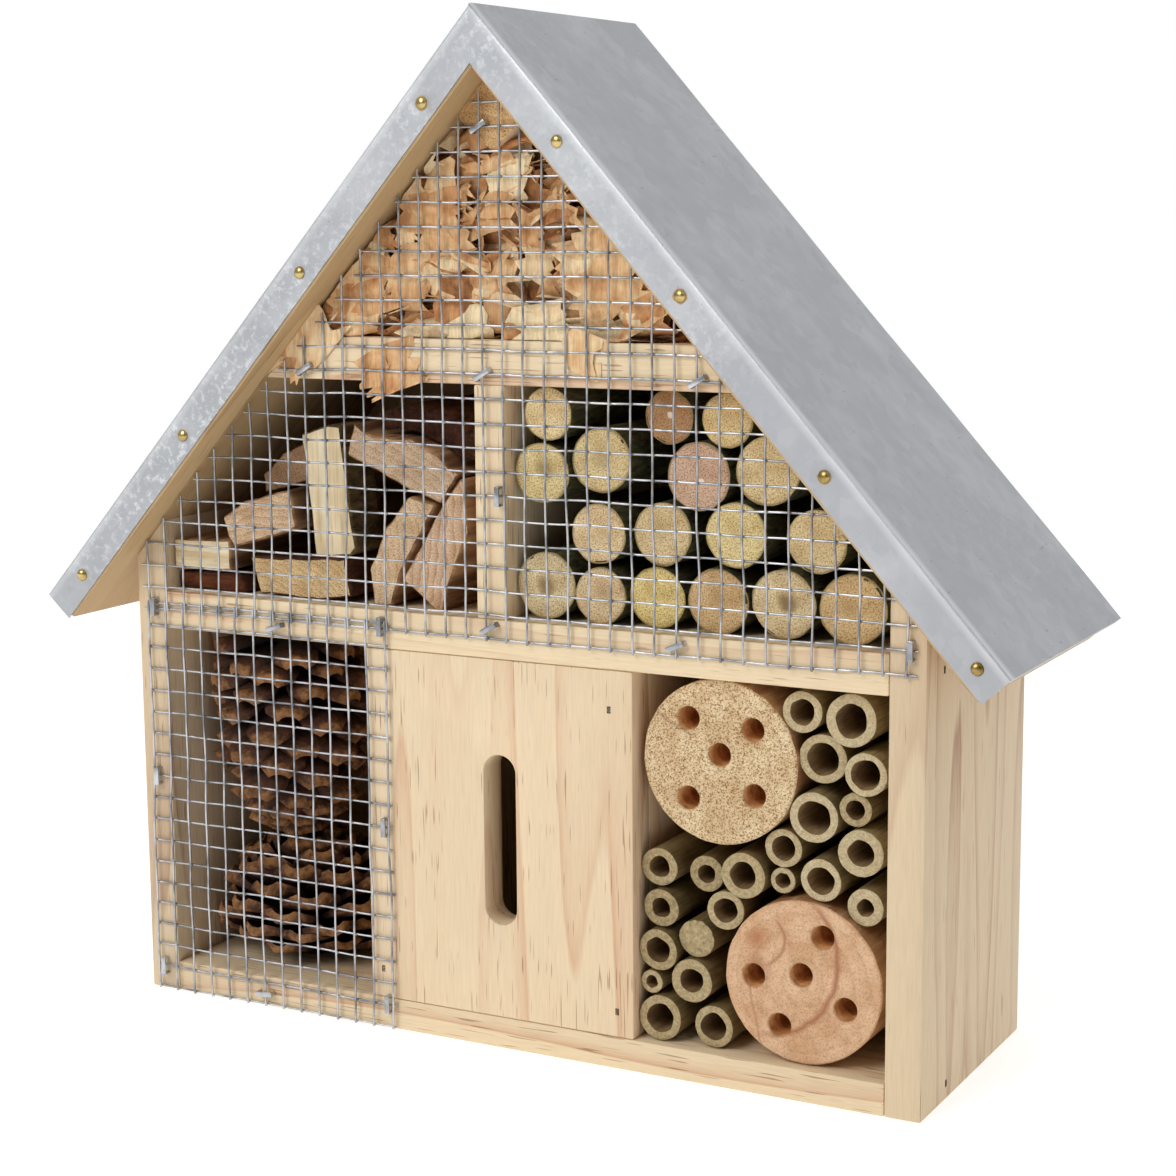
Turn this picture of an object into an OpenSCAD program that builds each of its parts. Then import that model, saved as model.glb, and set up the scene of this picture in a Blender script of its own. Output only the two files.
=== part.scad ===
// Insect hotel: a pitched-roof pine box with a slotted chamber and four bays of
// nesting material, two of them behind welded wire mesh, under a sheet-metal roof.
// Millimetres. The origin is the middle of the base, +Z is up and the front faces -Y.

/* [Body] */
// Width across the outer faces of the side walls
body_w = 245; // [200:1:300]
// Depth of the side walls from front to back
body_d = 79; // [60:1:110]
// Thickness of the side walls
wall_t = 10; // [8:0.5:13]
// Thickness of the bottom board
bottom_t = 9; // [7:0.5:14]
// Thickness of the back panel, which sits between the side walls
back_t = 4; // [3:0.5:6]
// How far a side wall's outer edge rises above the middle shelf
wall_rise = 10; // [6:0.5:20]

/* [Shelves and dividers] */
// Clear height of the lower bays
lower_bay_h = 101.5; // [80:0.5:125]
// Thickness of the middle shelf
middle_shelf_t = 11; // [8:0.5:14]
// Clear height of the middle bays
middle_bay_h = 63.5; // [50:0.5:78]
// Thickness of the upper shelf
upper_shelf_t = 12; // [8:0.5:15]
// Clear width of the lower left bay
left_bay_w = 69; // [55:0.5:85]
// Clear width of the lower right bay
right_bay_w = 72; // [58:0.5:88]
// Thickness of the two lower dividers
divider_t = 10; // [7:0.5:13]
// Thickness of the upper divider
upper_divider_t = 9.5; // [7:0.5:13]
// Sideways place of the upper divider's middle
upper_divider_x = -2; // [-20:0.5:20]

/* [Slotted panel] */
// Thickness of the slotted front panel
panel_t = 10; // [6:0.5:14]
// Width of the slot
slot_w = 10; // [6:0.5:16]
// Length of the slot from end to end
slot_len = 48; // [30:1:70]
// Sideways place of the slot from the panel's middle
slot_shift = 1; // [-10:0.5:10]

/* [Roof] */
// Slope of the roof in degrees
roof_pitch = 48; // [38:1:58]
// Thickness of the roof boards
roof_board_t = 10.4; // [8:0.2:14]
// Thickness of the roof sheet
sheet_t = 0.5; // [0.4:0.1:1]
// How far the roof boards stand out in front of the walls
front_overhang = 10; // [4:0.5:25]
// How far the roof boards stand out behind the walls
back_overhang = 4.7; // [2:0.1:15]
// How far the eave's top edge stands out past a side wall
eave_overhang = 25.2; // [15:0.2:45]
// Width of the sheet's front flange, across the slope
fascia_w = 10.1; // [8:0.1:14]
// Depth of the lip that the sheet turns down along each eave
eave_lip = 2; // [1:0.2:4]
// Side of the square strip under the ridge
ridge_strip_w = 16; // [12:0.5:22]

/* [Wire mesh] */
// Diameter of the mesh wire
wire_d = 0.7; // [0.5:0.1:1.2]
// Spacing of the upright wires
mesh_pitch = 6.35; // [5:0.05:12.7]
// Spacing of the level wires
mesh_rise = 6.5; // [5:0.05:12.7]
// Length of the cut ends past the last crossing
wire_stub = 2.6; // [1:0.1:4]

/* [Hanging plate] */
// Radius of the hole that takes a wall hook
hook_hole_r = 3; // [2:0.25:5]
// Thickness of the hanging plate
plate_t = 1.2; // [0.8:0.1:2]

/* [Hidden] */
$fn = 48;

pine = "burlywood";
galvanised = "silver";

// Planes of the box
front_y = -body_d / 2;
back_y = body_d / 2;
half_w = body_w / 2;
inner_x = half_w - wall_t;
bay_d = body_d - back_t;
middle_z = bottom_t + lower_bay_h;
middle_top_z = middle_z + middle_shelf_t;
upper_z = middle_top_z + middle_bay_h;
upper_top_z = upper_z + upper_shelf_t;
wall_h = middle_top_z + wall_rise;

// Roof: its underside passes through the outer top edges of the side walls
roof_t = roof_board_t + sheet_t;
under_apex_z = wall_h + half_w * tan(roof_pitch);
ridge_z = under_apex_z + roof_t / cos(roof_pitch);
slope_len = (half_w + eave_overhang) / cos(roof_pitch);
roof_front_y = front_y - front_overhang;
roof_back_y = back_y + back_overhang;

// Dividers and the panel in front of them
panel_x0 = -inner_x + left_bay_w;
panel_x1 = inner_x - right_bay_w;
panel_mid_z = bottom_t + lower_bay_h / 2;
upper_divider_x0 = upper_divider_x - upper_divider_t / 2;
upper_divider_x1 = upper_divider_x + upper_divider_t / 2;

// Clearances
fit = 0.1;
loose = 0.3;

// Height of the roof's underside above a point, and its reach at a height
function under_z(x) = under_apex_z - abs(x) * tan(roof_pitch);
function under_x(z) = (under_apex_z - z) / tan(roof_pitch);
// A point on the right slope: s down the slope from the ridge, d below its top face
function slope_point(s, d) = [
    s * cos(roof_pitch) - d * sin(roof_pitch),
    ridge_z - s * sin(roof_pitch) - d * cos(roof_pitch)
];
function mitre(d) = d * tan(roof_pitch);

// Extrudes an outline drawn in X and Z from front y0 to back y1
module slab(y0, y1) {
    translate([0, y1, 0]) rotate([90, 0, 0]) linear_extrude(y1 - y0) children();
}

// ---- Staples: [x, z, turn], each set so that its legs pass between the wires ----
staple_crown = 5.4;
staple_width = 1.5;
staple_wire = 0.6;
staple_leg = 5;
staple_half = (staple_crown - staple_wire) / 2;
mesh_t = 2 * wire_d + fit;
mesh_side_x = floor((half_w - wall_t / 2) * 2 / mesh_pitch) * mesh_pitch / 2;
upper_mesh_z = middle_z + 5.8;
lower_mesh_x = -mesh_side_x - wire_d - fit;
lower_mesh_z = 0.9;
lower_mesh_cols = floor((left_bay_w + wall_t + 3.6) / mesh_pitch);
lower_mesh_rows = floor((upper_mesh_z + 2 - lower_mesh_z) / mesh_rise);
lower_mesh_x1 = lower_mesh_x + lower_mesh_cols * mesh_pitch;
lower_mesh_z1 = lower_mesh_z + lower_mesh_rows * mesh_rise;
beside = 1.6;

function column(x) = -mesh_side_x + round((x + mesh_side_x) / mesh_pitch) * mesh_pitch;
function row(z) = upper_mesh_z + round((z - upper_mesh_z) / mesh_rise) * mesh_rise;
function low_column(x) = lower_mesh_x + round((x - lower_mesh_x) / mesh_pitch) * mesh_pitch;
function low_row(z) = lower_mesh_z + round((z - lower_mesh_z) / mesh_rise) * mesh_rise;

ridge_staples = [[column(-2), row(under_apex_z - ridge_strip_w + 1), 32]];
upper_shelf_staples = [
    [column(-half_w / 2), row(upper_z + 4), 32],
    [column(-2), row(upper_z + 4), 33],
    [column(half_w / 2), row(upper_z + 4), 31]
];
divider_staples = [[upper_divider_x1 - beside, row(middle_top_z + middle_bay_h / 2), 90]];
right_wall_staples = [[mesh_side_x + 1.2, row(middle_top_z + 1), 90]];
left_wall_staples = [
    [-mesh_side_x + beside, upper_mesh_z + 0.6, 90],
    [lower_mesh_x + beside, low_row(middle_z * 0.6), 90],
    [lower_mesh_x + beside, low_row(bottom_t), 90]
];
middle_shelf_staples = [
    [column(-0.6 * half_w), upper_mesh_z - 2.4, 20],
    [column(-2) + 1, upper_mesh_z + 2.8, 30],
    [column(0.43 * half_w), upper_mesh_z + 2.4, 24],
    [lower_mesh_x1 - beside, upper_mesh_z + 0.6, 90]
];
panel_staples = [[lower_mesh_x1 - beside, low_row(middle_z * 0.55), 90]];
bottom_staples = [[low_column(-inner_x + left_bay_w / 2), lower_mesh_z + mesh_rise / 2, 3]];
corner_staples = [[lower_mesh_x1 - beside, low_row(bottom_t), 90]];

module staple_legs(places) {
    for (p = places)
        translate([p[0], front_y, p[1]]) rotate([0, -p[2], 0]) for (side = [-1, 1])
            translate([side * staple_half - staple_wire / 2, -mesh_t, -staple_width / 2])
                cube([staple_wire, staple_leg + mesh_t, staple_width]);
}

module staples(places) {
    crown_y = -mesh_t - staple_wire;
    inside = staple_half - staple_wire / 2;
    outside = staple_half + staple_wire / 2;
    for (p = places)
        translate([p[0], front_y, p[1]]) rotate([0, -p[2], 0]) translate([0, 0, -staple_width / 2])
            linear_extrude(staple_width) polygon([
                [-outside, crown_y], [outside, crown_y], [outside, staple_leg], [inside, staple_leg],
                [inside, -mesh_t], [-inside, -mesh_t], [-inside, staple_leg], [-outside, staple_leg]
            ]);
}

// ---- Brads: flat T-heads driven flush ----
brad_head = [2.1, 1.3, 0.7];
brad_shank = [1.3, 1];
brad_len = 20;
back_brad_len = 16;

// A brad with its head at the origin, pointing along +Y
module brad(length) {
    translate([-brad_head[1] / 2, 0, -brad_head[0] / 2])
        cube([brad_head[1], brad_head[2], brad_head[0]]);
    translate([-brad_shank[1] / 2, 0, -brad_shank[0] / 2])
        cube([brad_shank[1], length, brad_shank[0]]);
}

module panel_brads() {
    places = [
        [panel_x0 + divider_t * 0.7, middle_z - 5.5],
        [panel_x0 + divider_t * 0.4, bottom_t + 8.5],
        [panel_x1 - divider_t * 0.7, middle_z - 10.8],
        [panel_x1 - divider_t * 0.5, bottom_t + 7.3]
    ];
    for (p = places) translate([p[0], front_y, p[1]]) brad(brad_len);
}

// One brad through each side wall into the end of the middle shelf and bottom board
module wall_brads(side) {
    places = [[front_y + 13, middle_z + middle_shelf_t / 2], [front_y + 19, bottom_t / 2]];
    for (p = places)
        translate([side * half_w, p[0], p[1]]) rotate([0, 0, side * 90]) brad(brad_len);
}

module back_brads() {
    heights = [bottom_t / 2, middle_z + middle_shelf_t / 2, upper_z + upper_shelf_t / 2];
    for (z = heights, side = [-1, 1])
        translate([side * 0.42 * half_w, back_y, z]) rotate([0, 0, 180]) brad(back_brad_len);
}

// ---- Roof nails: round heads through the front flange into the boards' ends ----
nail_head_r = 1.7;
nail_r = 0.7;
nail_len = 16;
nail_depth = 5.3;
left_nail_shares = [0.13, 0.4, 0.68, 0.94];
right_nail_shares = [0.195, 0.43, 0.695, 0.967];

module at_nails() {
    for (share = left_nail_shares) {
        p = slope_point(share * slope_len, nail_depth);
        translate([-p[0], roof_front_y - sheet_t, p[1]]) rotate([-90, 0, 0]) children();
    }
    for (share = right_nail_shares) {
        p = slope_point(share * slope_len, nail_depth);
        translate([p[0], roof_front_y - sheet_t, p[1]]) rotate([-90, 0, 0]) children();
    }
}

module nail_shanks() {
    at_nails() cylinder(h = nail_len, r = nail_r);
}

module roof_nails() {
    color("goldenrod") at_nails() union() {
        cylinder(h = nail_len, r = nail_r);
        intersection() {
            sphere(r = nail_head_r);
            translate([-nail_head_r, -nail_head_r, -1.2])
                cube([2 * nail_head_r, 2 * nail_head_r, 1.2]);
        }
    }
}

// ---- Walls, shelves and dividers ----
module side_wall_outline() {
    polygon([
        [inner_x, 0],
        [half_w, 0],
        [half_w, wall_h],
        [inner_x, under_z(inner_x)]
    ]);
}

module left_side_wall() {
    color(pine) difference() {
        slab(front_y, back_y) mirror([1, 0]) side_wall_outline();
        staple_legs(left_wall_staples);
        wall_brads(-1);
    }
}

module right_side_wall() {
    color(pine) difference() {
        slab(front_y, back_y) side_wall_outline();
        staple_legs(right_wall_staples);
        wall_brads(1);
    }
}

module bottom_board() {
    color(pine) difference() {
        translate([-inner_x, front_y, 0]) cube([2 * inner_x, bay_d, bottom_t]);
        staple_legs(bottom_staples);
        staple_legs(corner_staples);
        wall_brads(-1);
        wall_brads(1);
        back_brads();
    }
}

module middle_shelf() {
    color(pine) difference() {
        translate([-inner_x, front_y, middle_z]) cube([2 * inner_x, bay_d, middle_shelf_t]);
        staple_legs(middle_shelf_staples);
        wall_brads(-1);
        wall_brads(1);
        back_brads();
    }
}

module upper_shelf() {
    color(pine) difference() {
        slab(front_y, front_y + bay_d) polygon([
            [-under_x(upper_z), upper_z],
            [under_x(upper_z), upper_z],
            [under_x(upper_top_z), upper_top_z],
            [-under_x(upper_top_z), upper_top_z]
        ]);
        staple_legs(upper_shelf_staples);
        back_brads();
        hanging_screw_shanks();
    }
}

module upper_divider() {
    color(pine) difference() {
        translate([upper_divider_x0, front_y, middle_top_z])
            cube([upper_divider_t, bay_d, middle_bay_h]);
        staple_legs(divider_staples);
    }
}

module lower_divider(x0) {
    color(pine) difference() {
        translate([x0, front_y + panel_t, bottom_t])
            cube([divider_t, bay_d - panel_t, lower_bay_h]);
        panel_brads();
    }
}

module slotted_panel() {
    color(pine) difference() {
        translate([panel_x0, front_y, bottom_t + fit])
            cube([panel_x1 - panel_x0, panel_t, lower_bay_h - 2 * fit]);
        translate([(panel_x0 + panel_x1) / 2 + slot_shift, 0, panel_mid_z])
            slab(front_y - 1, front_y + panel_t + 1) {
                for (side = [-1, 1])
                    translate([0, side * (slot_len - slot_w) / 2]) circle(d = slot_w);
                square([slot_w, slot_len - slot_w], center = true);
            }
        panel_brads();
        staple_legs(panel_staples);
        staple_legs(corner_staples);
    }
}

// ---- Back panel and hanging plate ----
hook_hole_z = upper_top_z + 16;
screw_x = 14;
screw_z = upper_z + upper_shelf_t / 2;
screw_r = 1.3;
screw_head_r = 2.6;
screw_len = 14;
plate_h = upper_shelf_t;
plate_tongue_r = 8;

module back_panel() {
    color("tan") difference() {
        slab(back_y - back_t, back_y) polygon([
            [-inner_x, 0],
            [inner_x, 0],
            [inner_x, under_z(inner_x)],
            [0, under_apex_z],
            [-inner_x, under_z(inner_x)]
        ]);
        translate([0, 0, hook_hole_z]) slab(back_y - back_t - 1, back_y + 1)
            circle(r = hook_hole_r + 1.5);
        back_brads();
        hanging_screw_shanks();
    }
}

module hanging_plate() {
    color(galvanised) slab(back_y, back_y + plate_t) difference() {
        union() {
            translate([-screw_x - 6, upper_z]) square([2 * (screw_x + 6), plate_h]);
            translate([-plate_tongue_r, upper_z])
                square([2 * plate_tongue_r, hook_hole_z - upper_z]);
            translate([0, hook_hole_z]) circle(r = plate_tongue_r);
        }
        translate([0, hook_hole_z]) circle(r = hook_hole_r);
        for (side = [-1, 1]) translate([side * screw_x, screw_z]) circle(r = screw_r);
    }
}

module hanging_screw_shanks() {
    for (side = [-1, 1])
        translate([side * screw_x, back_y + plate_t, screw_z]) rotate([90, 0, 0])
            cylinder(h = screw_len, r = screw_r);
}

module hanging_screws() {
    color(galvanised) {
        hanging_screw_shanks();
        for (side = [-1, 1])
            translate([side * screw_x, back_y + plate_t, screw_z]) rotate([-90, 0, 0])
                difference() {
                    cylinder(h = 1.6, r1 = screw_head_r, r2 = screw_head_r * 0.7);
                    for (turn = [0, 90]) rotate(turn)
                        translate([-1.6, -0.3, 1]) cube([3.2, 0.6, 1]);
                }
    }
}

// ---- Roof ----
module ridge_strip() {
    side = [ridge_strip_w * cos(roof_pitch), ridge_strip_w * sin(roof_pitch)];
    color(pine) difference() {
        slab(front_y, front_y + bay_d) polygon([
            [0, under_apex_z],
            [side[0], under_apex_z - side[1]],
            [0, under_apex_z - side[1] - side[0] / tan(roof_pitch)],
            [-side[0], under_apex_z - side[1]]
        ]);
        staple_legs(ridge_staples);
    }
}

// The right-hand board; the left one is its mirror image
module roof_board_blank() {
    slab(roof_front_y, roof_back_y) polygon([
        slope_point(mitre(sheet_t), sheet_t),
        slope_point(slope_len - sheet_t, sheet_t),
        slope_point(slope_len - sheet_t, roof_t),
        slope_point(mitre(roof_t), roof_t)
    ]);
}

module left_roof_board() {
    color(pine) difference() {
        mirror([1, 0, 0]) roof_board_blank();
        nail_shanks();
    }
}

module right_roof_board() {
    color(pine) difference() {
        roof_board_blank();
        nail_shanks();
    }
}

// One folded sheet: two slopes with eave lips, and a flange over each board's front end
module roof_sheet_slope() {
    slab(roof_front_y - sheet_t, roof_back_y) polygon([
        slope_point(0, 0),
        slope_point(slope_len, 0),
        slope_point(slope_len, eave_lip),
        slope_point(slope_len - sheet_t, eave_lip),
        slope_point(slope_len - sheet_t, sheet_t),
        slope_point(mitre(sheet_t), sheet_t)
    ]);
    slab(roof_front_y - sheet_t, roof_front_y) polygon([
        slope_point(0, 0),
        slope_point(slope_len, 0),
        slope_point(slope_len, fascia_w),
        slope_point(mitre(fascia_w), fascia_w)
    ]);
}

module roof_sheet() {
    color(galvanised) difference() {
        union() {
            roof_sheet_slope();
            mirror([1, 0, 0]) roof_sheet_slope();
        }
        nail_shanks();
    }
}

// ---- Welded mesh: level wires against the wood, upright wires in front of them ----
level_y = front_y - wire_d / 2 - fit / 2;
upright_y = level_y - wire_d - fit / 2;
roof_gap = 0.8;

module level_wire(x0, x1, z) {
    translate([x0, level_y, z]) rotate([0, 90, 0]) cylinder(h = x1 - x0, d = wire_d);
}

module upright_wire(x, z0, z1) {
    translate([x, upright_y, z0]) cylinder(h = z1 - z0, d = wire_d);
}

// How far out a level wire may reach, and how high an upright one may stand
function mesh_reach(z) = min(mesh_side_x + wire_stub, under_x(z) - roof_gap);
function mesh_height(x) = under_z(x) - roof_gap;
// The last crossing before that limit, then the cut end
function level_end(z) = min(
    mesh_reach(z),
    mesh_side_x - ceil((mesh_side_x - mesh_reach(z)) / mesh_pitch) * mesh_pitch + wire_stub
);
function upright_end(x) = min(
    mesh_height(x),
    upper_mesh_z + floor((mesh_height(x) - upper_mesh_z) / mesh_rise) * mesh_rise + wire_stub
);

module upper_mesh() {
    color(galvanised) {
        for (x = [-mesh_side_x : mesh_pitch : mesh_side_x + fit])
            if (upright_end(x) > upper_mesh_z + mesh_rise)
                upright_wire(x, upper_mesh_z - wire_d, upright_end(x));
        for (z = [upper_mesh_z : mesh_rise : under_apex_z - ridge_strip_w / 2])
            if (level_end(z) > mesh_pitch / 2)
                level_wire(-level_end(z), level_end(z), z);
    }
}

module lower_mesh() {
    color(galvanised) {
        for (i = [0 : lower_mesh_cols])
            upright_wire(lower_mesh_x + i * mesh_pitch, 0.4, lower_mesh_z1 + wire_d);
        for (k = [0 : lower_mesh_rows])
            level_wire(lower_mesh_x - wire_d, lower_mesh_x1 + wire_d, lower_mesh_z + k * mesh_rise);
    }
}

module mesh_staples() {
    color("gainsboro") {
        staples(ridge_staples);
        staples(upper_shelf_staples);
        staples(divider_staples);
        staples(right_wall_staples);
        staples(left_wall_staples);
        staples(middle_shelf_staples);
        staples(panel_staples);
        staples(bottom_staples);
        staples(corner_staples);
    }
}

module brads() {
    color("dimgray") {
        panel_brads();
        wall_brads(-1);
        wall_brads(1);
        back_brads();
    }
}

// ---- Wood shavings: the heap in the gable, as one closed solid ----
shavings_front = 1.5;
shavings_back = 14;
shavings_step = 4;

function heap_z(x) = min(
    under_z(x) - 2 - 1.5 * abs(sin(x * 23)),
    under_apex_z - 1.7 * ridge_strip_w - 2 * abs(sin(x * 11))
);

module wood_shavings() {
    reach = under_x(upper_top_z) - 6;
    color("wheat") slab(front_y + shavings_front, front_y + bay_d - shavings_back) polygon(concat(
        [[reach, upper_top_z + loose], [-reach, upper_top_z + loose]],
        [for (x = [-reach : shavings_step : reach]) [x, heap_z(x)]]
    ));
}

// ---- Fillings of the middle bays ----
// Both are laid out from the upper divider outwards, in a bay whose wall, height and
// roof corner under the upper shelf lie here, and stretch with the real bay
layout_wall_x = 112.5;
layout_h = 63.5;
layout_top_x = 74.3;
layout_lean = 0.9;

function layout_clear(z, face) =
    min(layout_wall_x, layout_top_x + (layout_h - z) * layout_lean) - face;
function real_clear(z, face) = min(inner_x, under_x(z)) - face;
function stretch_z(z) = z * middle_bay_h / layout_h;
function stretch_x(p, face) =
    p[0] * real_clear(middle_top_z + stretch_z(p[1]), face) / layout_clear(p[1], face);

// A stick of kindling: outline points [out from the divider, up from the shelf]
module kindling(points, setback, length) {
    face = -upper_divider_x0;
    slab(front_y + setback, front_y + min(setback + length, bay_d - loose)) polygon([
        for (p = points) [-face - stretch_x(p, face), middle_top_z + stretch_z(p[1])]
    ]);
}

module kindling_plank() {
    color("wheat") kindling([[105, 6], [105, 15], [85, 15.9], [85, 7]], 4, 66);
}

module kindling_bark_strip() {
    color("saddlebrown") kindling([[105, 0.3], [105, 5.5], [83, 6], [81, 0.3]], 6, 64);
}

module kindling_block() {
    color("tan") kindling(
        [[86.5, 22.5], [79, 27.5], [63, 31.5], [60.5, 20.5], [82.5, 14], [85, 17]], 3, 45);
}

module kindling_upright() {
    color("wheat") kindling(
        [[59, 47.5], [50, 50.5], [46, 50], [41.5, 16], [43.5, 13.7], [55, 12.9]], 4, 15);
}

module kindling_arch() {
    color("rosybrown") kindling([
        [40.5, 51.5], [35.5, 48], [23, 47.5], [13.5, 43.5], [7, 38],
        [13, 30.2], [23, 34], [36, 39.5], [43, 42.5]
    ], 3, 40);
}

module kindling_left_slab() {
    color("rosybrown") kindling(
        [[37, 10.5], [31, 22.5], [23.5, 31.5], [15, 29.5], [27, 10.5], [30, 0.3], [36, 0.3]], 4, 55);
}

module kindling_right_slab() {
    color("rosybrown") kindling(
        [[12.5, 29.5], [6.5, 37.5], [5, 37], [5, 22.5], [13, 0.3], [15, 0.4], [25.5, 8.5]], 3, 60);
}

module kindling_bottom() {
    color("tan") kindling([[77, 11.5], [44, 13], [42.5, 2], [60, 0.3], [74, 1]], 3, 55);
}

module kindling_rear() {
    color("peru") kindling(
        [[78, 34.5], [71.5, 40.5], [59.7, 46.5], [59.7, 33.6], [77.3, 28.8]], 12, 50);
}

module kindling_bark_slab() {
    color("saddlebrown") kindling([
        [38, 53.5], [30, 56], [15, 55], [6, 48], [5, 42],
        [8, 40.5], [14, 45], [23, 49], [35, 49.5]
    ], 10, 58);
}

// Cut branches: [out from the divider, up from the shelf, diameter, setback]
branches = [
    [10.5, 56, 14.5, 5], [45.5, 56, 14.5, 7], [62.5, 56, 14.5, 6],
    [8.5, 40, 16.5, 5], [25.5, 44, 17.5, 7], [54.5, 41, 18.5, 6], [74, 43.5, 18, 6],
    [25.5, 24.5, 16.5, 5], [44, 25.5, 17, 6], [65.5, 26.5, 17.5, 5], [87.5, 26, 17, 6],
    [9.5, 9.6, 18.5, 5], [26.5, 8.1, 15.5, 4], [43, 8.6, 16.5, 5], [61, 9, 17.5, 4],
    [79.5, 9.6, 18.5, 4], [98.5, 9.6, 18.5, 4]
];

module branch_sections() {
    face = upper_divider_x1;
    shrink = min(
        middle_bay_h / layout_h,
        real_clear(middle_top_z, face) / layout_clear(0, face),
        real_clear(upper_z, face) / layout_clear(layout_h, face)
    );
    color("khaki") for (b = branches)
        translate([face + stretch_x(b, face), front_y + b[3], middle_top_z + stretch_z(b[1])])
            rotate([-90, 0, 0]) cylinder(h = bay_d - b[3] - loose, d = b[2] * shrink);
}

// ---- Fillings of the lower right bay, laid out in a bay of this size ----
right_layout_w = 72;
right_layout_h = 101.5;
right_fill = min(right_bay_w / right_layout_w, lower_bay_h / right_layout_h);

function right_bay_x(x) = panel_x1 + x * right_bay_w / right_layout_w;
function right_bay_z(z) = bottom_t + z * lower_bay_h / right_layout_h;

module drilled_log(x, z, diameter, setback, holes) {
    hole_d = 6.4;
    end_wall = 8;
    length = bay_d - setback - loose;
    color("burlywood")
        translate([right_bay_x(x), front_y + setback, right_bay_z(z)])
        rotate([-90, 0, 0]) difference() {
            cylinder(h = length, d = diameter * right_fill);
            for (p = holes)
                translate([p[0] * right_fill, -p[1] * right_fill, -1])
                    cylinder(h = length - end_wall + 1, d = hole_d * right_fill);
        }
}

module drilled_log_upper() {
    drilled_log(24, 79, 44.5, 3, [[-9, 11], [9.5, 9.5], [0, 2], [-9, -10.5], [10, -8]]);
}

module drilled_log_lower() {
    drilled_log(48, 22.5, 44.5, 3, [[5.5, 13], [-14, 0], [-0.5, 2], [12, -5.5], [-6.5, -12.5]]);
}

// Cane tubes: [across, up, outer diameter, bore, setback], a bore of 0 is a closed node
tubes = [
    [47, 94.5, 11, 7, 4], [60.5, 93.5, 14, 9, 4], [52.5, 82.5, 13, 8.8, 5],
    [65, 80, 11.5, 8.2, 3], [50.5, 67, 13.5, 9.2, 4], [61.5, 70, 9, 5.2, 5],
    [41.5, 57.5, 10.5, 6.8, 5], [63.5, 59, 12.5, 7.2, 4], [41, 48.5, 7, 4.2, 6],
    [52.5, 50.5, 11.5, 7.6, 4], [64.5, 44.5, 10, 4.8, 5], [5.5, 48, 10.5, 6, 5],
    [19, 47.5, 10, 5.2, 6], [30.5, 49, 12.5, 7.4, 4], [6.5, 37, 10.5, 5.6, 4],
    [25, 38.5, 10.5, 6.7, 5], [6, 25.5, 11.5, 7.2, 3], [16.5, 29.5, 10.5, 0, 5],
    [3.6, 16, 6.5, 3.6, 4], [15.5, 18, 12, 6.8, 4], [6.6, 6.6, 12.5, 8, 3],
    [22, 6.1, 11.5, 7.6, 4]
];
tube_node_gap = 6;

module tube(number) {
    t = tubes[number - 1];
    length = bay_d - t[4] - loose;
    color("darkkhaki")
        translate([right_bay_x(t[0]), front_y + t[4], right_bay_z(t[1])])
        rotate([-90, 0, 0]) difference() {
            cylinder(h = length, d = t[2] * right_fill);
            if (t[3] > 0)
                translate([0, 0, -1])
                    cylinder(h = length - tube_node_gap + 1, d = t[3] * right_fill);
        }
}

// ---- Pine cones: a tapered core with scales set round it in a spiral ----
cone_scales = 46;
golden_angle = 137.5;

function cone_reach(t) = sin(25 + 150 * (1 - t) * (0.62 + 0.38 * t)) * (1 - 0.35 * t);

module pine_cone(height, diameter) {
    core_r = 0.17 * diameter;
    cylinder(h = height * 0.9, r1 = core_r, r2 = core_r * 0.45, $fn = 12);
    for (i = [0 : cone_scales - 1]) {
        t = (i + 0.5) / cone_scales;
        z = height * (0.06 + 0.72 * t);
        reach = diameter / 2 * cone_reach(t);
        width = diameter * (0.26 - 0.14 * t);
        lift = height * 0.14;
        rotate([0, 0, i * golden_angle]) hull() {
            translate([core_r * 0.3, 0, z]) cube([1, width * 0.4, 1.6], center = true);
            translate([reach * 0.72, 0, z + lift * 0.55]) cube([1, width, 1.4], center = true);
            translate([reach - 0.6, 0, z + lift]) cube([1, width * 0.45, 2.2], center = true);
        }
    }
}

cone_fill = min(left_bay_w / 69, bay_d / 75);
cone_rise = lower_bay_h / 101.5;

// Each cone leans into the front left corner of its bay: reach is how far its widest scale goes
module corner_cone(z, reach) {
    translate([-inner_x + reach * cone_fill + loose, front_y + reach * cone_fill + loose, z])
        scale([cone_fill, cone_fill, cone_rise]) children();
}

module pine_cone_bottom() {
    color("sienna") corner_cone(bottom_t + loose, 29.4) pine_cone(40, 66);
}

// This one hangs upside down between the shelf and the tip of the other
module pine_cone_top() {
    color("sienna") corner_cone(middle_z - loose, 25.8) rotate([180, 0, 0]) pine_cone(69, 58);
}

left_side_wall();
right_side_wall();
bottom_board();
middle_shelf();
upper_shelf();
upper_divider();
lower_divider(panel_x0);  // lower_left_divider
lower_divider(panel_x1 - divider_t);  // lower_right_divider
slotted_panel();
back_panel();
ridge_strip();
left_roof_board();
right_roof_board();
roof_sheet();
roof_nails();
brads();
upper_mesh();
lower_mesh();
mesh_staples();
hanging_plate();
hanging_screws();
wood_shavings();
kindling_plank();
kindling_bark_strip();
kindling_block();
kindling_upright();
kindling_arch();
kindling_left_slab();
kindling_right_slab();
kindling_bottom();
kindling_rear();
kindling_bark_slab();
pine_cone_bottom();
pine_cone_top();
branch_sections();
drilled_log_upper();
drilled_log_lower();
tube(1);  // tube_1
tube(2);  // tube_2
tube(3);  // tube_3
tube(4);  // tube_4
tube(5);  // tube_5
tube(6);  // tube_6
tube(7);  // tube_7
tube(8);  // tube_8
tube(9);  // tube_9
tube(10);  // tube_10
tube(11);  // tube_11
tube(12);  // tube_12
tube(13);  // tube_13
tube(14);  // tube_14
tube(15);  // tube_15
tube(16);  // tube_16
tube(17);  // tube_17
tube(18);  // tube_18
tube(19);  // tube_19
tube(20);  // tube_20
tube(21);  // tube_21
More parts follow.
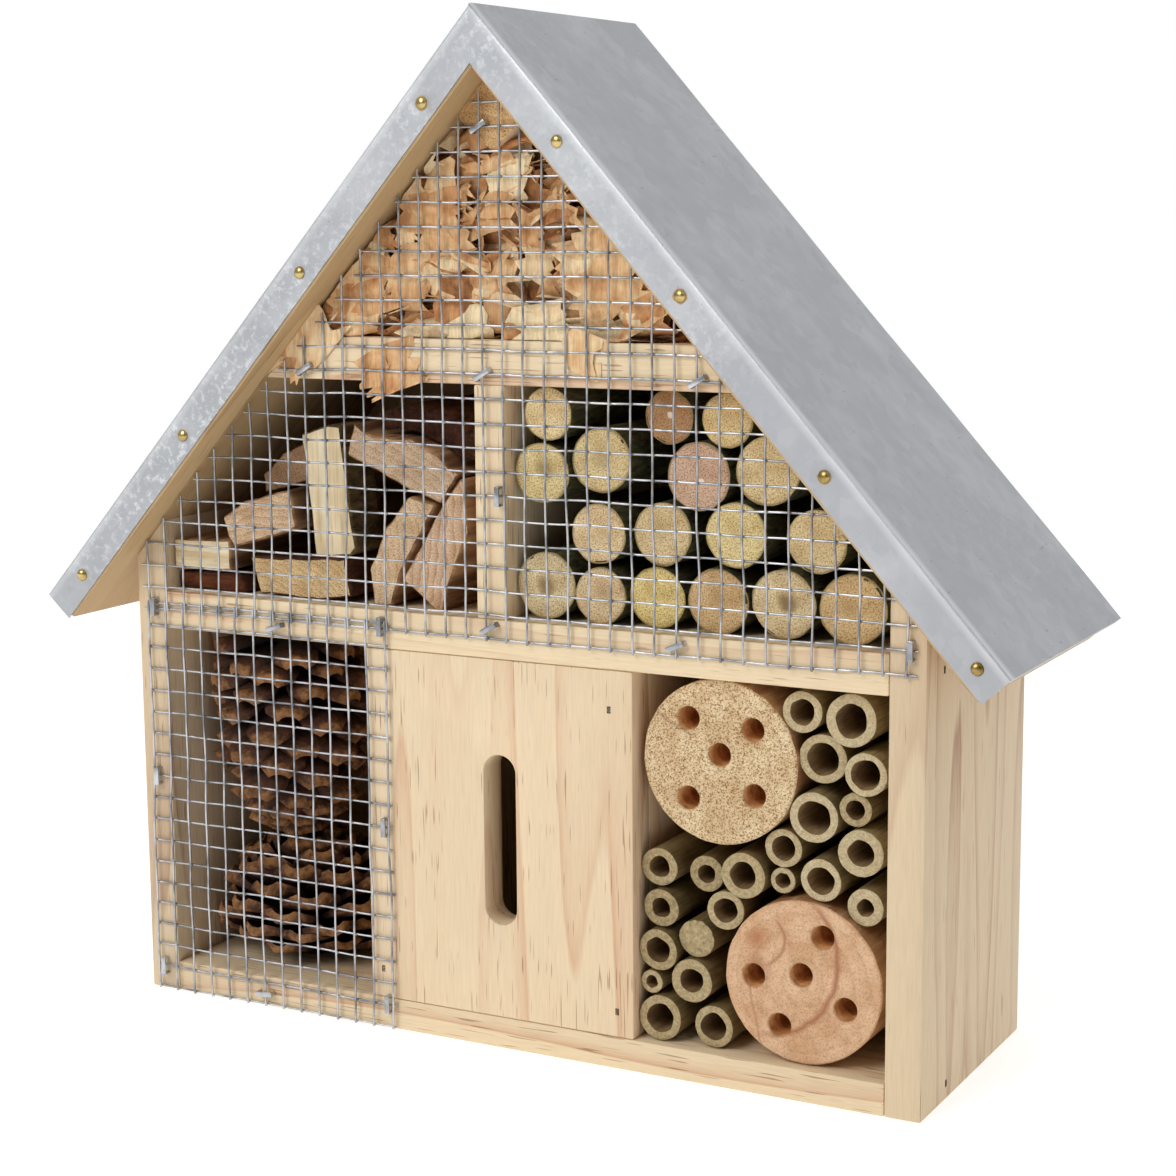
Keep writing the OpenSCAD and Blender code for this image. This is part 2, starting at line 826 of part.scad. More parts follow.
tube(22);  // tube_22
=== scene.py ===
"""An insect hotel: a planed pine house with a galvanised roof, filled bay by bay."""

import math
import random

import bpy
from mathutils import Matrix, Vector, noise


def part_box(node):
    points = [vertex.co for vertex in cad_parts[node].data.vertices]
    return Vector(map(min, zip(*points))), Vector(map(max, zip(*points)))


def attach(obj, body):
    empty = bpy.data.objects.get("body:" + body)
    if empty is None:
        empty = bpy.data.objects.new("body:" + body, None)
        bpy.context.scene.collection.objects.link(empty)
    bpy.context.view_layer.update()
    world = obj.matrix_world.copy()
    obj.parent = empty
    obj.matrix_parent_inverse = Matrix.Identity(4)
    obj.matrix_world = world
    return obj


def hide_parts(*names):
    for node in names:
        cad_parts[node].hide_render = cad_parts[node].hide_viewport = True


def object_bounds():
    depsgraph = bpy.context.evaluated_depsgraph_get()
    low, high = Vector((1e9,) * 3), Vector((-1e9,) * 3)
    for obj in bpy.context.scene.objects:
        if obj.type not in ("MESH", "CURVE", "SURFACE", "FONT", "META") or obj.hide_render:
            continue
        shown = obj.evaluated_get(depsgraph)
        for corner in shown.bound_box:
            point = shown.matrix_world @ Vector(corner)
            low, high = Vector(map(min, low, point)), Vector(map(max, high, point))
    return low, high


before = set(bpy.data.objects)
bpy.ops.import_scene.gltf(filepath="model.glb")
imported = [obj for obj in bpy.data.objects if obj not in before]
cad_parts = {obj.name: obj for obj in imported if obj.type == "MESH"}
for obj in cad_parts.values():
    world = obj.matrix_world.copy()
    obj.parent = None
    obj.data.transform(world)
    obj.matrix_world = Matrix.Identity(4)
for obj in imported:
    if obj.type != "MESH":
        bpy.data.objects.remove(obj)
cad_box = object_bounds()
noise.seed_set(7)                 # else each run would roughen the split wood in its own way

MM = 0.001
PITCH = math.radians(48)                                # slope of the roof
SKIN = 0.5 * MM                                         # the roof sheet's thickness
DOWN = Vector((math.cos(PITCH), 0, -math.sin(PITCH)))   # down the right-hand slope
OUT = Vector((math.sin(PITCH), 0, math.cos(PITCH)))     # square out of the right-hand slope
RIDGE = Vector((0, 0, cad_box[1].z))
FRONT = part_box("bottom_board")[0].y                     # the front faces of the boards
SHELF_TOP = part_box("upper_shelf")[1].z


# ---------------------------------------------------------------- camera, floor and light
def aim(azimuth, elevation, roll):
    """The turn of a camera that looks from this side, in degrees."""
    a, e, r = (math.radians(v) for v in (azimuth, elevation, roll))
    back = Vector((math.sin(a) * math.cos(e), -math.cos(a) * math.cos(e), math.sin(e)))
    right = (-back).cross(Vector((0, 0, 1))).normalized()
    up = right.cross(-back)
    side = math.cos(r) * right + math.sin(r) * up
    top = -math.sin(r) * right + math.cos(r) * up
    return Matrix((side, top, back)).transposed().to_4x4()


lens = bpy.data.cameras.new("camera")
lens.sensor_width = 36
lens.lens = 73.79
camera = bpy.data.objects.new("camera", lens)
bpy.context.scene.collection.objects.link(camera)
camera.matrix_world = Matrix.Translation((0.3239, -0.5954, 0.2352)) @ aim(28.06, 9.29, -0.46)
bpy.context.scene.camera = camera
bpy.context.scene.view_settings.view_transform = "Standard"

FILL_FRONT, FILL_BACK = 0.08, 0.95
world = bpy.data.worlds.new("studio")
bpy.context.scene.world = world
world.use_nodes = True
sky = world.node_tree
fill = sky.nodes["Background"]
fill.inputs["Color"].default_value = (1, 1, 1, 1)
# The fill is dim in front of the house and bright behind it, where the roof mirrors it
direction = sky.nodes.new("ShaderNodeTexCoord")
split = sky.nodes.new("ShaderNodeSeparateXYZ")
level = sky.nodes.new("ShaderNodeMapRange")
sky.links.new(direction.outputs["Generated"], split.inputs[0])
sky.links.new(split.outputs["Y"], level.inputs["Value"])
for socket, value in (("From Min", -0.8), ("From Max", 0.8), ("To Min", FILL_FRONT), ("To Max", FILL_BACK)):
    level.inputs[socket].default_value = value
sky.links.new(level.outputs[0], fill.inputs["Strength"])
backdrop = sky.nodes.new("ShaderNodeBackground")       # what the camera sees behind the house
backdrop.inputs["Color"].default_value = (1, 1, 1, 1)
seen = sky.nodes.new("ShaderNodeLightPath")
either = sky.nodes.new("ShaderNodeMixShader")
sky.links.new(seen.outputs["Is Camera Ray"], either.inputs[0])
sky.links.new(fill.outputs[0], either.inputs[1])
sky.links.new(backdrop.outputs[0], either.inputs[2])
sky.links.new(either.outputs[0], sky.nodes["World Output"].inputs["Surface"])


def softbox(name, place, target, size, power):
    lamp = bpy.data.lights.new(name, "AREA")
    lamp.shape, lamp.size, lamp.energy = "SQUARE", size, power
    box = bpy.data.objects.new(name, lamp)
    bpy.context.scene.collection.objects.link(box)
    box.location = place
    box.rotation_euler = (Vector(target) - Vector(place)).to_track_quat("-Z", "Y").to_euler()


softbox("key_light", (-0.65, -1.65, 1.45), (0, 0, 0.12), 1.2, 27)
softbox("edge_light", (1.0, -0.9, 1.5), (0, 0, 0.15), 0.5, 1.3)


# ---------------------------------------------------------------- modelling helpers
def clear():
    """Back to object mode with nothing selected."""
    if bpy.context.object and bpy.context.object.mode != "OBJECT":
        bpy.ops.object.mode_set(mode="OBJECT")
    bpy.ops.object.select_all(action="DESELECT")


def only(piece):
    clear()
    piece.select_set(True)
    bpy.context.view_layer.objects.active = piece


def settle(piece):
    """Puts a piece's place, turn and size into its mesh."""
    only(piece)
    bpy.ops.object.transform_apply(location=True, rotation=True, scale=True)


def pick(piece, test, kind="VERT"):
    """Enters edit mode with just the vertices, edges or faces whose middle passes the test."""
    only(piece)
    bpy.context.tool_settings.mesh_select_mode = (kind == "VERT", kind == "EDGE", kind == "FACE")
    bpy.ops.object.mode_set(mode="EDIT")
    bpy.ops.mesh.select_all(action="DESELECT")
    bpy.ops.object.mode_set(mode="OBJECT")
    mesh = piece.data
    if kind == "VERT":
        for v in mesh.vertices:
            v.select = test(v.co)
    elif kind == "EDGE":
        for e in mesh.edges:
            a, b = (mesh.vertices[i].co for i in e.vertices)
            e.select = test(a, b)
    else:
        for f in mesh.polygons:
            f.select = test(f.center, f.normal)
    bpy.ops.object.mode_set(mode="EDIT")


def finish_with(piece, kind, **settings):
    """Adds a modifier with these settings and applies it."""
    only(piece)
    modifier = piece.modifiers.new(kind.lower(), kind)
    for key, value in settings.items():
        setattr(modifier, key, value)
    bpy.ops.object.modifier_apply(modifier=modifier.name)


def smooth(piece, degrees=35):
    only(piece)
    bpy.ops.object.shade_smooth_by_angle(angle=math.radians(degrees))


def outward(piece):
    only(piece)
    bpy.ops.object.mode_set(mode="EDIT")
    bpy.ops.mesh.select_all(action="SELECT")
    bpy.ops.mesh.normals_make_consistent(inside=False)
    bpy.ops.object.mode_set(mode="OBJECT")


def eased(piece, width, segments=2, degrees=30):
    """Rounds a piece's edges a little, as sandpaper or a press does."""
    finish_with(piece, "BEVEL", width=width, segments=segments, limit_method="ANGLE",
                angle_limit=math.radians(degrees), use_clamp_overlap=True)
    smooth(piece)


def done(piece, slot, *nodes, finish=None):
    """Rides a piece on the house with its finish, if one is given, and hides the nodes it stands for; its slot
    is not used.
    """
    clear()
    if finish:
        piece.data.materials.clear()
        piece.data.materials.append(finish)
    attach(piece, "root")
    if nodes:
        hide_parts(*nodes)
    return piece


def block(name, low, high):
    """A cube primitive drawn out between two corners."""
    clear()
    low, high = Vector(low), Vector(high)
    bpy.ops.mesh.primitive_cube_add(size=1, location=(low + high) / 2)
    piece = bpy.context.object
    piece.name = name
    piece.scale = high - low
    settle(piece)
    return piece


def prism(name, outline, y0, y1):
    """A flat outline of (x, z) corners, drawn out from y0 back to y1."""
    clear()
    bpy.ops.mesh.primitive_circle_add(vertices=len(outline), fill_type="NGON")
    piece = bpy.context.object
    piece.name = name
    for v, (x, z) in zip(piece.data.vertices, outline):
        v.co = (x, y0, z)
    bpy.ops.object.mode_set(mode="EDIT")
    bpy.ops.mesh.select_all(action="SELECT")
    bpy.ops.mesh.extrude_region_move(TRANSFORM_OT_translate={"value": (0, y1 - y0, 0)})
    outward(piece)
    return piece


def node_copy(name, node):
    """A merged copy of a CAD node, to be shaped further."""
    clear()
    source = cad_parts[node]
    piece = bpy.data.objects.new(name, source.data.copy())
    bpy.context.scene.collection.objects.link(piece)
    only(piece)
    bpy.ops.object.mode_set(mode="EDIT")
    bpy.ops.mesh.select_all(action="SELECT")
    bpy.ops.mesh.remove_doubles(threshold=0.000002)
    bpy.ops.mesh.dissolve_limited(angle_limit=math.radians(1))
    bpy.ops.object.mode_set(mode="OBJECT")
    return piece


def loose_parts(piece):
    """Splits a piece into its separate solids."""
    only(piece)
    bpy.ops.mesh.separate(type="LOOSE")
    return list(bpy.context.selected_objects)


def extent(piece):
    xs = [v.co for v in piece.data.vertices]
    low = Vector(min(c[i] for c in xs) for i in range(3))
    high = Vector(max(c[i] for c in xs) for i in range(3))
    return low, high


def copy_at(source, place):
    copy = bpy.data.objects.new(source.name, source.data.copy())
    copy.data.transform(place)
    bpy.context.scene.collection.objects.link(copy)
    return copy


def joined(name, parts):
    clear()
    for part in parts:
        part.select_set(True)
    bpy.context.view_layer.objects.active = parts[0]
    bpy.ops.object.join()
    piece = bpy.context.object
    piece.name = piece.data.name = name
    return piece


def drop(piece):
    bpy.data.objects.remove(piece)


def roughen(piece, height, size):
    """Moves points by smooth noise: height in metres, size of a bump in metres."""
    for v in piece.data.vertices:
        v.co += noise.noise_vector(v.co / size) * height


def mark(piece, name, value):
    """Writes a number for the whole piece, or a vector for each point, that a finish reads."""
    if callable(value):
        layer = piece.data.attributes.new(name, "FLOAT_VECTOR", "POINT")
        for point, v in zip(layer.data, piece.data.vertices):
            point.vector = value(v.co)
    else:
        layer = piece.data.attributes.new(name, "FLOAT", "POINT")
        layer.data.foreach_set("value", [value] * len(piece.data.vertices))


# ---------------------------------------------------------------- finishes
def hex_colour(code):
    """An sRGB hex colour as the linear RGBA that shaders use."""
    parts = [int(code[i:i + 2], 16) / 255 for i in (0, 2, 4)]
    return (*[c / 12.92 if c <= 0.04045 else ((c + 0.055) / 1.055) ** 2.4 for c in parts], 1)


def add(tree, kind, inputs=None, stops=None, **settings):
    """A shader node with its settings, input values or links, and colour stops; gives its first output."""
    node = tree.nodes.new("ShaderNode" + kind)
    for key, value in settings.items():
        setattr(node, key, value)
    for key, value in (inputs or {}).items():
        socket = node.inputs[key]
        if isinstance(value, bpy.types.NodeSocket):
            tree.links.new(value, socket)
        else:
            socket.default_value = hex_colour(value) if isinstance(value, str) else value
    if stops:
        ramp = node.color_ramp
        while len(ramp.elements) > 2:
            ramp.elements.remove(ramp.elements[0])
        while len(ramp.elements) < len(stops):
            ramp.elements.new(0.5)
        for element, (place, colour) in zip(ramp.elements, stops):
            element.position = place
            element.color = hex_colour(colour) if isinstance(colour, str) else (colour,) * 3 + (1,)
    return node.outputs[0]


def finish(name, **shader):
    """A new material with these values on its shader; gives the material, its tree and shader."""
    material = bpy.data.materials.new(name)
    material.use_nodes = True
    tree = material.node_tree
    surface = tree.nodes["Principled BSDF"]
    for key, value in shader.items():
        surface.inputs[key.replace("_", " ")].default_value = value
    return material, tree, surface


def raise_grain(tree, surface, height, distance):
    """Bump from a height pattern, in metres."""
    bump = add(tree, "Bump", {"Height": height, "Distance": distance, "Strength": 1.0})
    tree.links.new(bump, surface.inputs["Normal"])


def here(tree):
    """Each point's place on the house, in metres."""
    add(tree, "TexCoord")
    return tree.nodes[-1].outputs["Object"]


def marked(tree, name, output="Vector"):
    """What mark() wrote on the piece under this name."""
    add(tree, "Attribute", attribute_name=name)
    return tree.nodes[-1].outputs[output]


def stretched(tree, place, scale):
    return add(tree, "Mapping", {"Vector": place, "Scale": scale})


def noisy(tree, place, scale, detail, roughness=0.5):
    """Soft noise whose bumps are about 1 / scale metres across."""
    return add(tree, "TexNoise", {"Vector": place, "Scale": scale, "Detail": detail, "Roughness": roughness})


def spread(tree, value, low, high, to_low=0.0, to_high=1.0):
    """Carries one range of values over to another, and stops at its ends."""
    return add(tree, "MapRange", {"Value": value, "From Min": low, "From Max": high,
                                  "To Min": to_low, "To Max": to_high})


def times(tree, a, b):
    return add(tree, "Math", {0: a, 1: b}, operation="MULTIPLY")


def plus(tree, a, factor, b):
    """a * factor + b"""
    return add(tree, "Math", {0: a, 1: factor, 2: b}, operation="MULTIPLY_ADD")


def over(tree, amount, under, colour, how="MIX"):
    """One colour laid over another by this amount."""
    return add(tree, "MixRGB", {"Fac": amount, "Color1": under, "Color2": colour}, blend_type=how)


def ramp(tree, value, *stops):
    return add(tree, "ValToRGB", {"Fac": value}, stops=stops)


def from_axis(tree, place):
    """How far each point is from the Z axis of a place."""
    add(tree, "VectorMath", {0: stretched(tree, place, (1, 1, 0))}, operation="LENGTH")
    return tree.nodes[-1].outputs["Value"]


def planed_pine(name, turn=(0, 0, 0), shift=(0, 0, 0), pale="ebd5b0", line="cf9f7c", bold=0.85):
    """Planed pine, unfinished and dry: pale cream with soft pinkish growth bands and short dark
    resin ducts. The grain runs along Z before the turn."""
    material, tree, surface = finish(name, Roughness=0.62, IOR=1.45)
    place = add(tree, "Mapping", {"Vector": here(tree), "Rotation": turn, "Location": shift})
    # Growth bands are the level lines of a slow drift across the board, sharp on one side only
    drift = noisy(tree, stretched(tree, place, (1, 1, 0.07)), 34, 1.5)
    saw = add(tree, "Math", {0: times(tree, drift, 8.0)}, operation="FRACT")
    lines = ramp(tree, saw, (0, 0.0), (0.55, 0.1), (0.86, 0.55), (0.95, 1.0), (1, 0.0))
    cloud = noisy(tree, stretched(tree, place, (1, 1, 0.15)), 45, 3)
    strength = spread(tree, cloud, 0.38, 0.66, bold * 0.25, bold)
    wood = over(tree, times(tree, lines, strength), pale, line)
    # Fine fibres 0.4 mm wide and some 10 mm long
    fibre = noisy(tree, stretched(tree, place, (1, 1, 0.045)), 1900, 3, 0.65)
    wood = over(tree, 0.55, wood, ramp(tree, fibre, (0.3, 0.80), (0.62, 1.0)), "MULTIPLY")
    # Resin ducts: dark dashes 0.3 mm wide and 6 mm long that come in flocks
    dash = noisy(tree, stretched(tree, place, (1, 1, 0.04)), 1900, 0)
    dash = spread(tree, plus(tree, cloud, 0.35, dash), 0.895, 0.955, 0.0, 0.6)
    wood = over(tree, dash, wood, "8a5c38")
    tree.links.new(wood, surface.inputs["Base Color"])
    raise_grain(tree, surface, fibre, 0.00006)
    return material


def end_grain(name, pale=None, torn=0.6, ring=0.0016, ringed=0.3):
    """Sawn end grain: torn fibres that stand up as a fine pale and dark speckle, with growth rings
    round the point that the piece is marked with. With no colour it takes each piece's own tint."""
    material, tree, surface = finish(name, Roughness=0.8, IOR=1.4)
    if pale is None:
        pale = marked(tree, "tint", "Color")
    place = marked(tree, "growth")
    flat = stretched(tree, place, (1, 1, 0.1))
    speckle = noisy(tree, flat, 2300, 3, 0.6)
    patch = noisy(tree, flat, 130, 2)
    swing = plus(tree, patch, 0.0035, from_axis(tree, place))
    saw = add(tree, "Math", {0: times(tree, swing, 1 / ring)}, operation="FRACT")
    lines = ramp(tree, saw, (0, "ffffff"), (0.6, "e6d8c4"), (0.9, "a88660"), (1, "ffffff"))
    wood = over(tree, ringed, pale, lines, "MULTIPLY")
    pits = ramp(tree, speckle, (0.34, "94745a"), (0.46, "e2d2bc"), (0.53, "ffffff"))
    wood = over(tree, torn, wood, pits, "MULTIPLY")
    blotch = ramp(tree, patch, (0.35, "d8c2a4"), (0.6, "ffffff"))
    wood = over(tree, 0.5, wood, blotch, "MULTIPLY")
    tree.links.new(wood, surface.inputs["Base Color"])
    raise_grain(tree, surface, speckle, 0.0003)
    return material, tree, surface, wood


def galvanised(name, base="b6b8bc", rough=0.62):
    """Hot-dipped zinc on steel sheet: dull cool grey, faint spangle some 4 mm across, white bloom in places, a
    few fine scuffs, and a painted highlight of whiter zinc along the front fold."""
    material, tree, surface = finish(name, Metallic=1.0)
    place = here(tree)
    add(tree, "TexVoronoi", {"Vector": place, "Scale": 230}, feature="F1")
    spangle = add(tree, "SeparateColor", {"Color": tree.nodes[-1].outputs["Color"]})
    blur = noisy(tree, place, 30, 4, 0.6)
    tone = plus(tree, spangle, 0.08, times(tree, blur, 0.85))
    colour = ramp(tree, tone, (0.2, "adb0b4"), (0.42, base), (0.65, "cacccf"))
    # Bloom: torn white crystals a millimetre or two across, thick in some places and absent in others
    crystal = spread(tree, noisy(tree, place, 420, 4, 0.7), 0.5, 0.62, 0.0, 0.8)
    where = spread(tree, noisy(tree, place, 17, 2), 0.42, 0.6)
    # The marked vector holds the flange share for the bloom and the fold share for the painted highlight
    add(tree, "SeparateXYZ", {"Vector": marked(tree, "bloom_and_fold_highlight")})
    flange, fold = tree.nodes[-1].outputs["X"], tree.nodes[-1].outputs["Y"]
    bloom = times(tree, times(tree, crystal, where), flange)
    colour = over(tree, bloom, colour, "dfe1e3")
    # Scuffs: thin dark nicks about 0.3 mm wide and a few mm long
    slant = add(tree, "Mapping", {"Vector": place, "Rotation": (0.5, 0.8, 0.6), "Scale": (1, 0.2, 1)})
    nick = spread(tree, noisy(tree, slant, 900, 2), 0.70, 0.77, 0.0, 0.35)
    colour = over(tree, nick, colour, "77797d")
    # Painted highlight: the zinc is drawn whiter along the front fold, where the sheet's rounded edge catches
    # the light
    colour = over(tree, fold, colour, "eceef0")
    tree.links.new(colour, surface.inputs["Base Color"])
    gloss = plus(tree, fold, -0.2, spread(tree, blur, 0.3, 0.7, rough - 0.07, rough + 0.09))
    tree.links.new(gloss, surface.inputs["Roughness"])
    raise_grain(tree, surface, noisy(tree, place, 900, 3), 0.00001)
    return material


def bright_metal(name, base, dark, rough):
    """Drawn or plated metal: one colour with slightly darker dull patches and fine draw marks."""
    material, tree, surface = finish(name, Metallic=1.0)
    place = here(tree)
    patch = noisy(tree, place, 160, 4)
    tree.links.new(ramp(tree, patch, (0.35, dark), (0.6, base)), surface.inputs["Base Color"])
    gloss = spread(tree, patch, 0.0, 1.0, rough + 0.12, rough - 0.08)
    tree.links.new(gloss, surface.inputs["Roughness"])
    raise_grain(tree, surface, noisy(tree, place, 1500, 2), 0.00001)
    return material


def split_face(name, pale, dark, stretch=(1, 0.08, 1)):
    """A riven or sawn side of raw wood: long fibres and darker streaks that run with the stick."""
    material, tree, surface = finish(name, Roughness=0.78, IOR=1.4)
    long = stretched(tree, here(tree), stretch)
    fibre = noisy(tree, long, 1100, 4, 0.7)
    colour = ramp(tree, noisy(tree, long, 260, 3), (0.36, dark), (0.6, pale))
    colour = over(tree, 0.7, colour, ramp(tree, fibre, (0.3, 0.62), (0.65, 1.0)), "MULTIPLY")
    tree.links.new(colour, surface.inputs["Base Color"])
    raise_grain(tree, surface, fibre, 0.0003)
    return material


def bark_finish(name, pale, dark, stretch=(1, 0.3, 1), scale=420):
    """Dry bark: dark furrows between lighter flaky ridges."""
    material, tree, surface = finish(name, Roughness=0.88, IOR=1.35)
    place = stretched(tree, here(tree), stretch)
    flake = add(tree, "TexNoise", {"Vector": place, "Scale": scale, "Detail": 6, "Roughness": 0.7,
                                   "Distortion": 0.6})
    tree.links.new(ramp(tree, flake, (0.36, dark), (0.66, pale)), surface.inputs["Base Color"])
    raise_grain(tree, surface, flake, 0.0009)
    return material


def tinted(name, stops, swing, patch, stretch, fibre, deep, depth=0.0002):
    """Raw wood whose colour follows each piece's own tone, with fine fibres over it."""
    material, tree, surface = finish(name, Roughness=0.7, IOR=1.4)
    tone = marked(tree, "tone", "Fac")
    place = here(tree)
    drift = add(tree, "Math", {0: noisy(tree, place, patch, 3), 1: 0.5}, operation="SUBTRACT")
    colour = ramp(tree, plus(tree, drift, swing, tone), *stops)
    fibre = noisy(tree, stretched(tree, place, stretch), fibre, 3, 0.7)
    colour = over(tree, 0.8, colour, ramp(tree, fibre, (0.3, deep), (0.6, 1.0)), "MULTIPLY")
    tree.links.new(colour, surface.inputs["Base Color"])
    raise_grain(tree, surface, fibre, depth)
    return material


# ---------------------------------------------------------------- the floor
clear()
bpy.ops.mesh.primitive_plane_add(size=8, location=(0, 0, -0.0002))
floor = bpy.context.object
floor.name = "floor"
settle(floor)
paper, _, paper_shader = finish("pale_paper", Roughness=0.9, IOR=1.3)
paper_shader.inputs["Base Color"].default_value = hex_colour("e2e2e2")
paper_shader.inputs["Emission Color"].default_value = (1, 1, 1, 1)
paper_shader.inputs["Emission Strength"].default_value = 0.6
floor.data.materials.append(paper)


# ---------------------------------------------------------------- planed boards
def planed(name, node, low, high, grain, trim=0.0006):
    piece = block(name, low, high)
    eased(piece, trim)
    return done(piece, "pine", node, finish=grain)


UPRIGHT = (0, 0, 0)
LEVEL = (0, math.pi / 2, 0)       # turns the grain of the pattern to lie along X
SLOPED_RIGHT = (0, -(math.pi / 2 + PITCH), 0)
SLOPED_LEFT = (0, math.pi / 2 + PITCH, 0)


def side_wall(name, node, side, shift):
    low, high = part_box(node)
    outer, inner = (high.x, low.x) if side > 0 else (low.x, high.x)
    drop_z = (abs(outer) - abs(inner)) * math.tan(PITCH)
    outline = [(inner, low.z), (outer, low.z), (outer, high.z - drop_z), (inner, high.z)]
    piece = prism(name, outline, low.y, high.y)
    eased(piece, 0.0006)
    return done(piece, "pine", node, finish=planed_pine(
        name + "_pine", UPRIGHT, shift, pale="dcc6a4", line="a3745a", bold=1.1))


side_wall("left_wall", "left_side_wall", -1, (0.31, 0.12, 0.4))
side_wall("right_wall", "right_side_wall", 1, (0.0, 0.03, 0.1))
for name, node, turn, shift in (
        ("floor_board", "bottom_board", LEVEL, (0.2, 0.4, 0.1)),
        ("shelf", "middle_shelf", LEVEL, (0.5, 0.1, 0.3)),
        ("bay_divider", "upper_divider", UPRIGHT, (0.7, 0.2, 0.1)),
        ("left_divider", "lower_left_divider", UPRIGHT, (0.1, 0.6, 0.2)),
        ("right_divider", "lower_right_divider", UPRIGHT, (0.4, 0.3, 0.6))):
    planed(name, node, *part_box(node), planed_pine(name + "_pine", turn, shift))

low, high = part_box("upper_shelf")
lean = (high.z - low.z) / math.tan(PITCH)
outline = [(low.x, low.z), (high.x, low.z), (high.x - lean, high.z), (low.x + lean, high.z)]
gable_shelf = prism("gable_shelf", outline, low.y, high.y)
eased(gable_shelf, 0.0005)
done(gable_shelf, "pine", "upper_shelf", finish=planed_pine("gable_shelf_pine", LEVEL, (0.9, 0.5, 0.2)))

# The butterfly panel, with its slot routed through
low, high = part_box("slotted_panel")
panel = block("butterfly_panel", low, high)
slot_x, slot_z = (low.x + high.x) / 2 + 1 * MM, (low.z + high.z) / 2
clear()
bpy.ops.mesh.primitive_cylinder_add(vertices=48, radius=5 * MM, depth=30 * MM, location=(slot_x, FRONT, slot_z),
                                    rotation=(math.pi / 2, 0, 0))
router = bpy.context.object
settle(router)
for side in (1, -1):
    pick(router, lambda c: (c.z - slot_z) * side > 0.00001)
    bpy.ops.transform.translate(value=(0, 0, side * 19 * MM))
    bpy.ops.object.mode_set(mode="OBJECT")
finish_with(panel, "BOOLEAN", object=router, operation="DIFFERENCE", solver="EXACT")
drop(router)
eased(panel, 0.0005, degrees=50)
done(panel, "pine", "slotted_panel", finish=planed_pine(
    "panel_pine", UPRIGHT, (0.23, 0.7, 0.35), pale="ead3b0", line="d3a37e"))

# Roof boards: mitred at the ridge, their front ends behind the sheet's flange
for name, node, side, turn in (("left_roof", "left_roof_board", -1, SLOPED_LEFT),
                               ("right_roof", "right_roof_board", 1, SLOPED_RIGHT)):
    low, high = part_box(node)
    board = 10.4 * MM
    reach = (max(abs(low.x), abs(high.x)) + SKIN * math.sin(PITCH)) / math.cos(PITCH)
    corners = []
    for s, d in ((SKIN * math.tan(PITCH), SKIN), (reach - SKIN, SKIN), (reach - SKIN, SKIN + board),
                 ((SKIN + board) * math.tan(PITCH), SKIN + board)):
        p = RIDGE + DOWN * s - OUT * d
        corners.append((side * p.x, p.z))
    piece = prism(name, corners, low.y, high.y)
    eased(piece, 0.0004)
    done(piece, "pine", node, finish=planed_pine(
        name + "_pine", turn, (0.3, 0.2, 0.5), pale="c0a276", line="a07a52"))

# The strip under the ridge shows its sawn end
low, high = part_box("ridge_strip")
half = high.x
ridge_side = half / math.cos(PITCH) * math.sin(PITCH)
outline = [(0, high.z), (half, high.z - ridge_side), (0, low.z), (-half, high.z - ridge_side)]
strip = prism("ridge_strip_sawn", outline, low.y, high.y)
roughen(strip, 0.0002, 0.01)
eased(strip, 0.0004)
strip.data.materials.append(planed_pine("strip_pine", (math.pi / 2, 0, 0), (0.1, 0.1, 0.9)))
strip.data.materials.append(end_grain("strip_end", "e6c391", 0.8, 0.0028)[0])
mark(strip, "growth", lambda c: (c.x + 6 * MM, c.z - low.z + 30 * MM, c.y))
for face in strip.data.polygons:
    face.material_index = 1 if face.normal.y < -0.9 else 0
done(strip, "pine", "ridge_strip")

# The back sheet, drilled behind the hook hole
low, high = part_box("back_panel")
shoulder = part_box("left_side_wall")[1].z
hook_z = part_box("hanging_plate")[1].z - 8 * MM
outline = [(low.x, low.z), (high.x, low.z), (high.x, shoulder), (0, high.z), (low.x, shoulder)]
back = prism("back_sheet", outline, low.y, high.y)
clear()
bpy.ops.mesh.primitive_cylinder_add(vertices=40, radius=4.5 * MM, depth=30 * MM, location=(0, high.y, hook_z),
                                    rotation=(math.pi / 2, 0, 0))
drill = bpy.context.object
settle(drill)
finish_with(back, "BOOLEAN", object=drill, operation="DIFFERENCE", solver="EXACT")
drop(drill)
eased(back, 0.0003, degrees=50)
done(back, "plywood", "back_panel", finish=planed_pine(
    "plywood", LEVEL, (0.6, 0.9, 0.1), pale="94744f", line="785838"))


# ---------------------------------------------------------------- the folded roof sheet
sheet_low, sheet_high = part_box("roof_sheet")
REACH = sheet_high.x / math.cos(PITCH)
nail_places = []
for part in loose_parts(node_copy("nails_as_placed", "roof_nails")):
    a, b = extent(part)
    nail_places.append(Vector(((a.x + b.x) / 2, sheet_low.y, (a.z + b.z) / 2)))
    drop(part)


FACE_Y = sheet_low.y + 1.0 * MM       # where the top plane turns over into the front flange


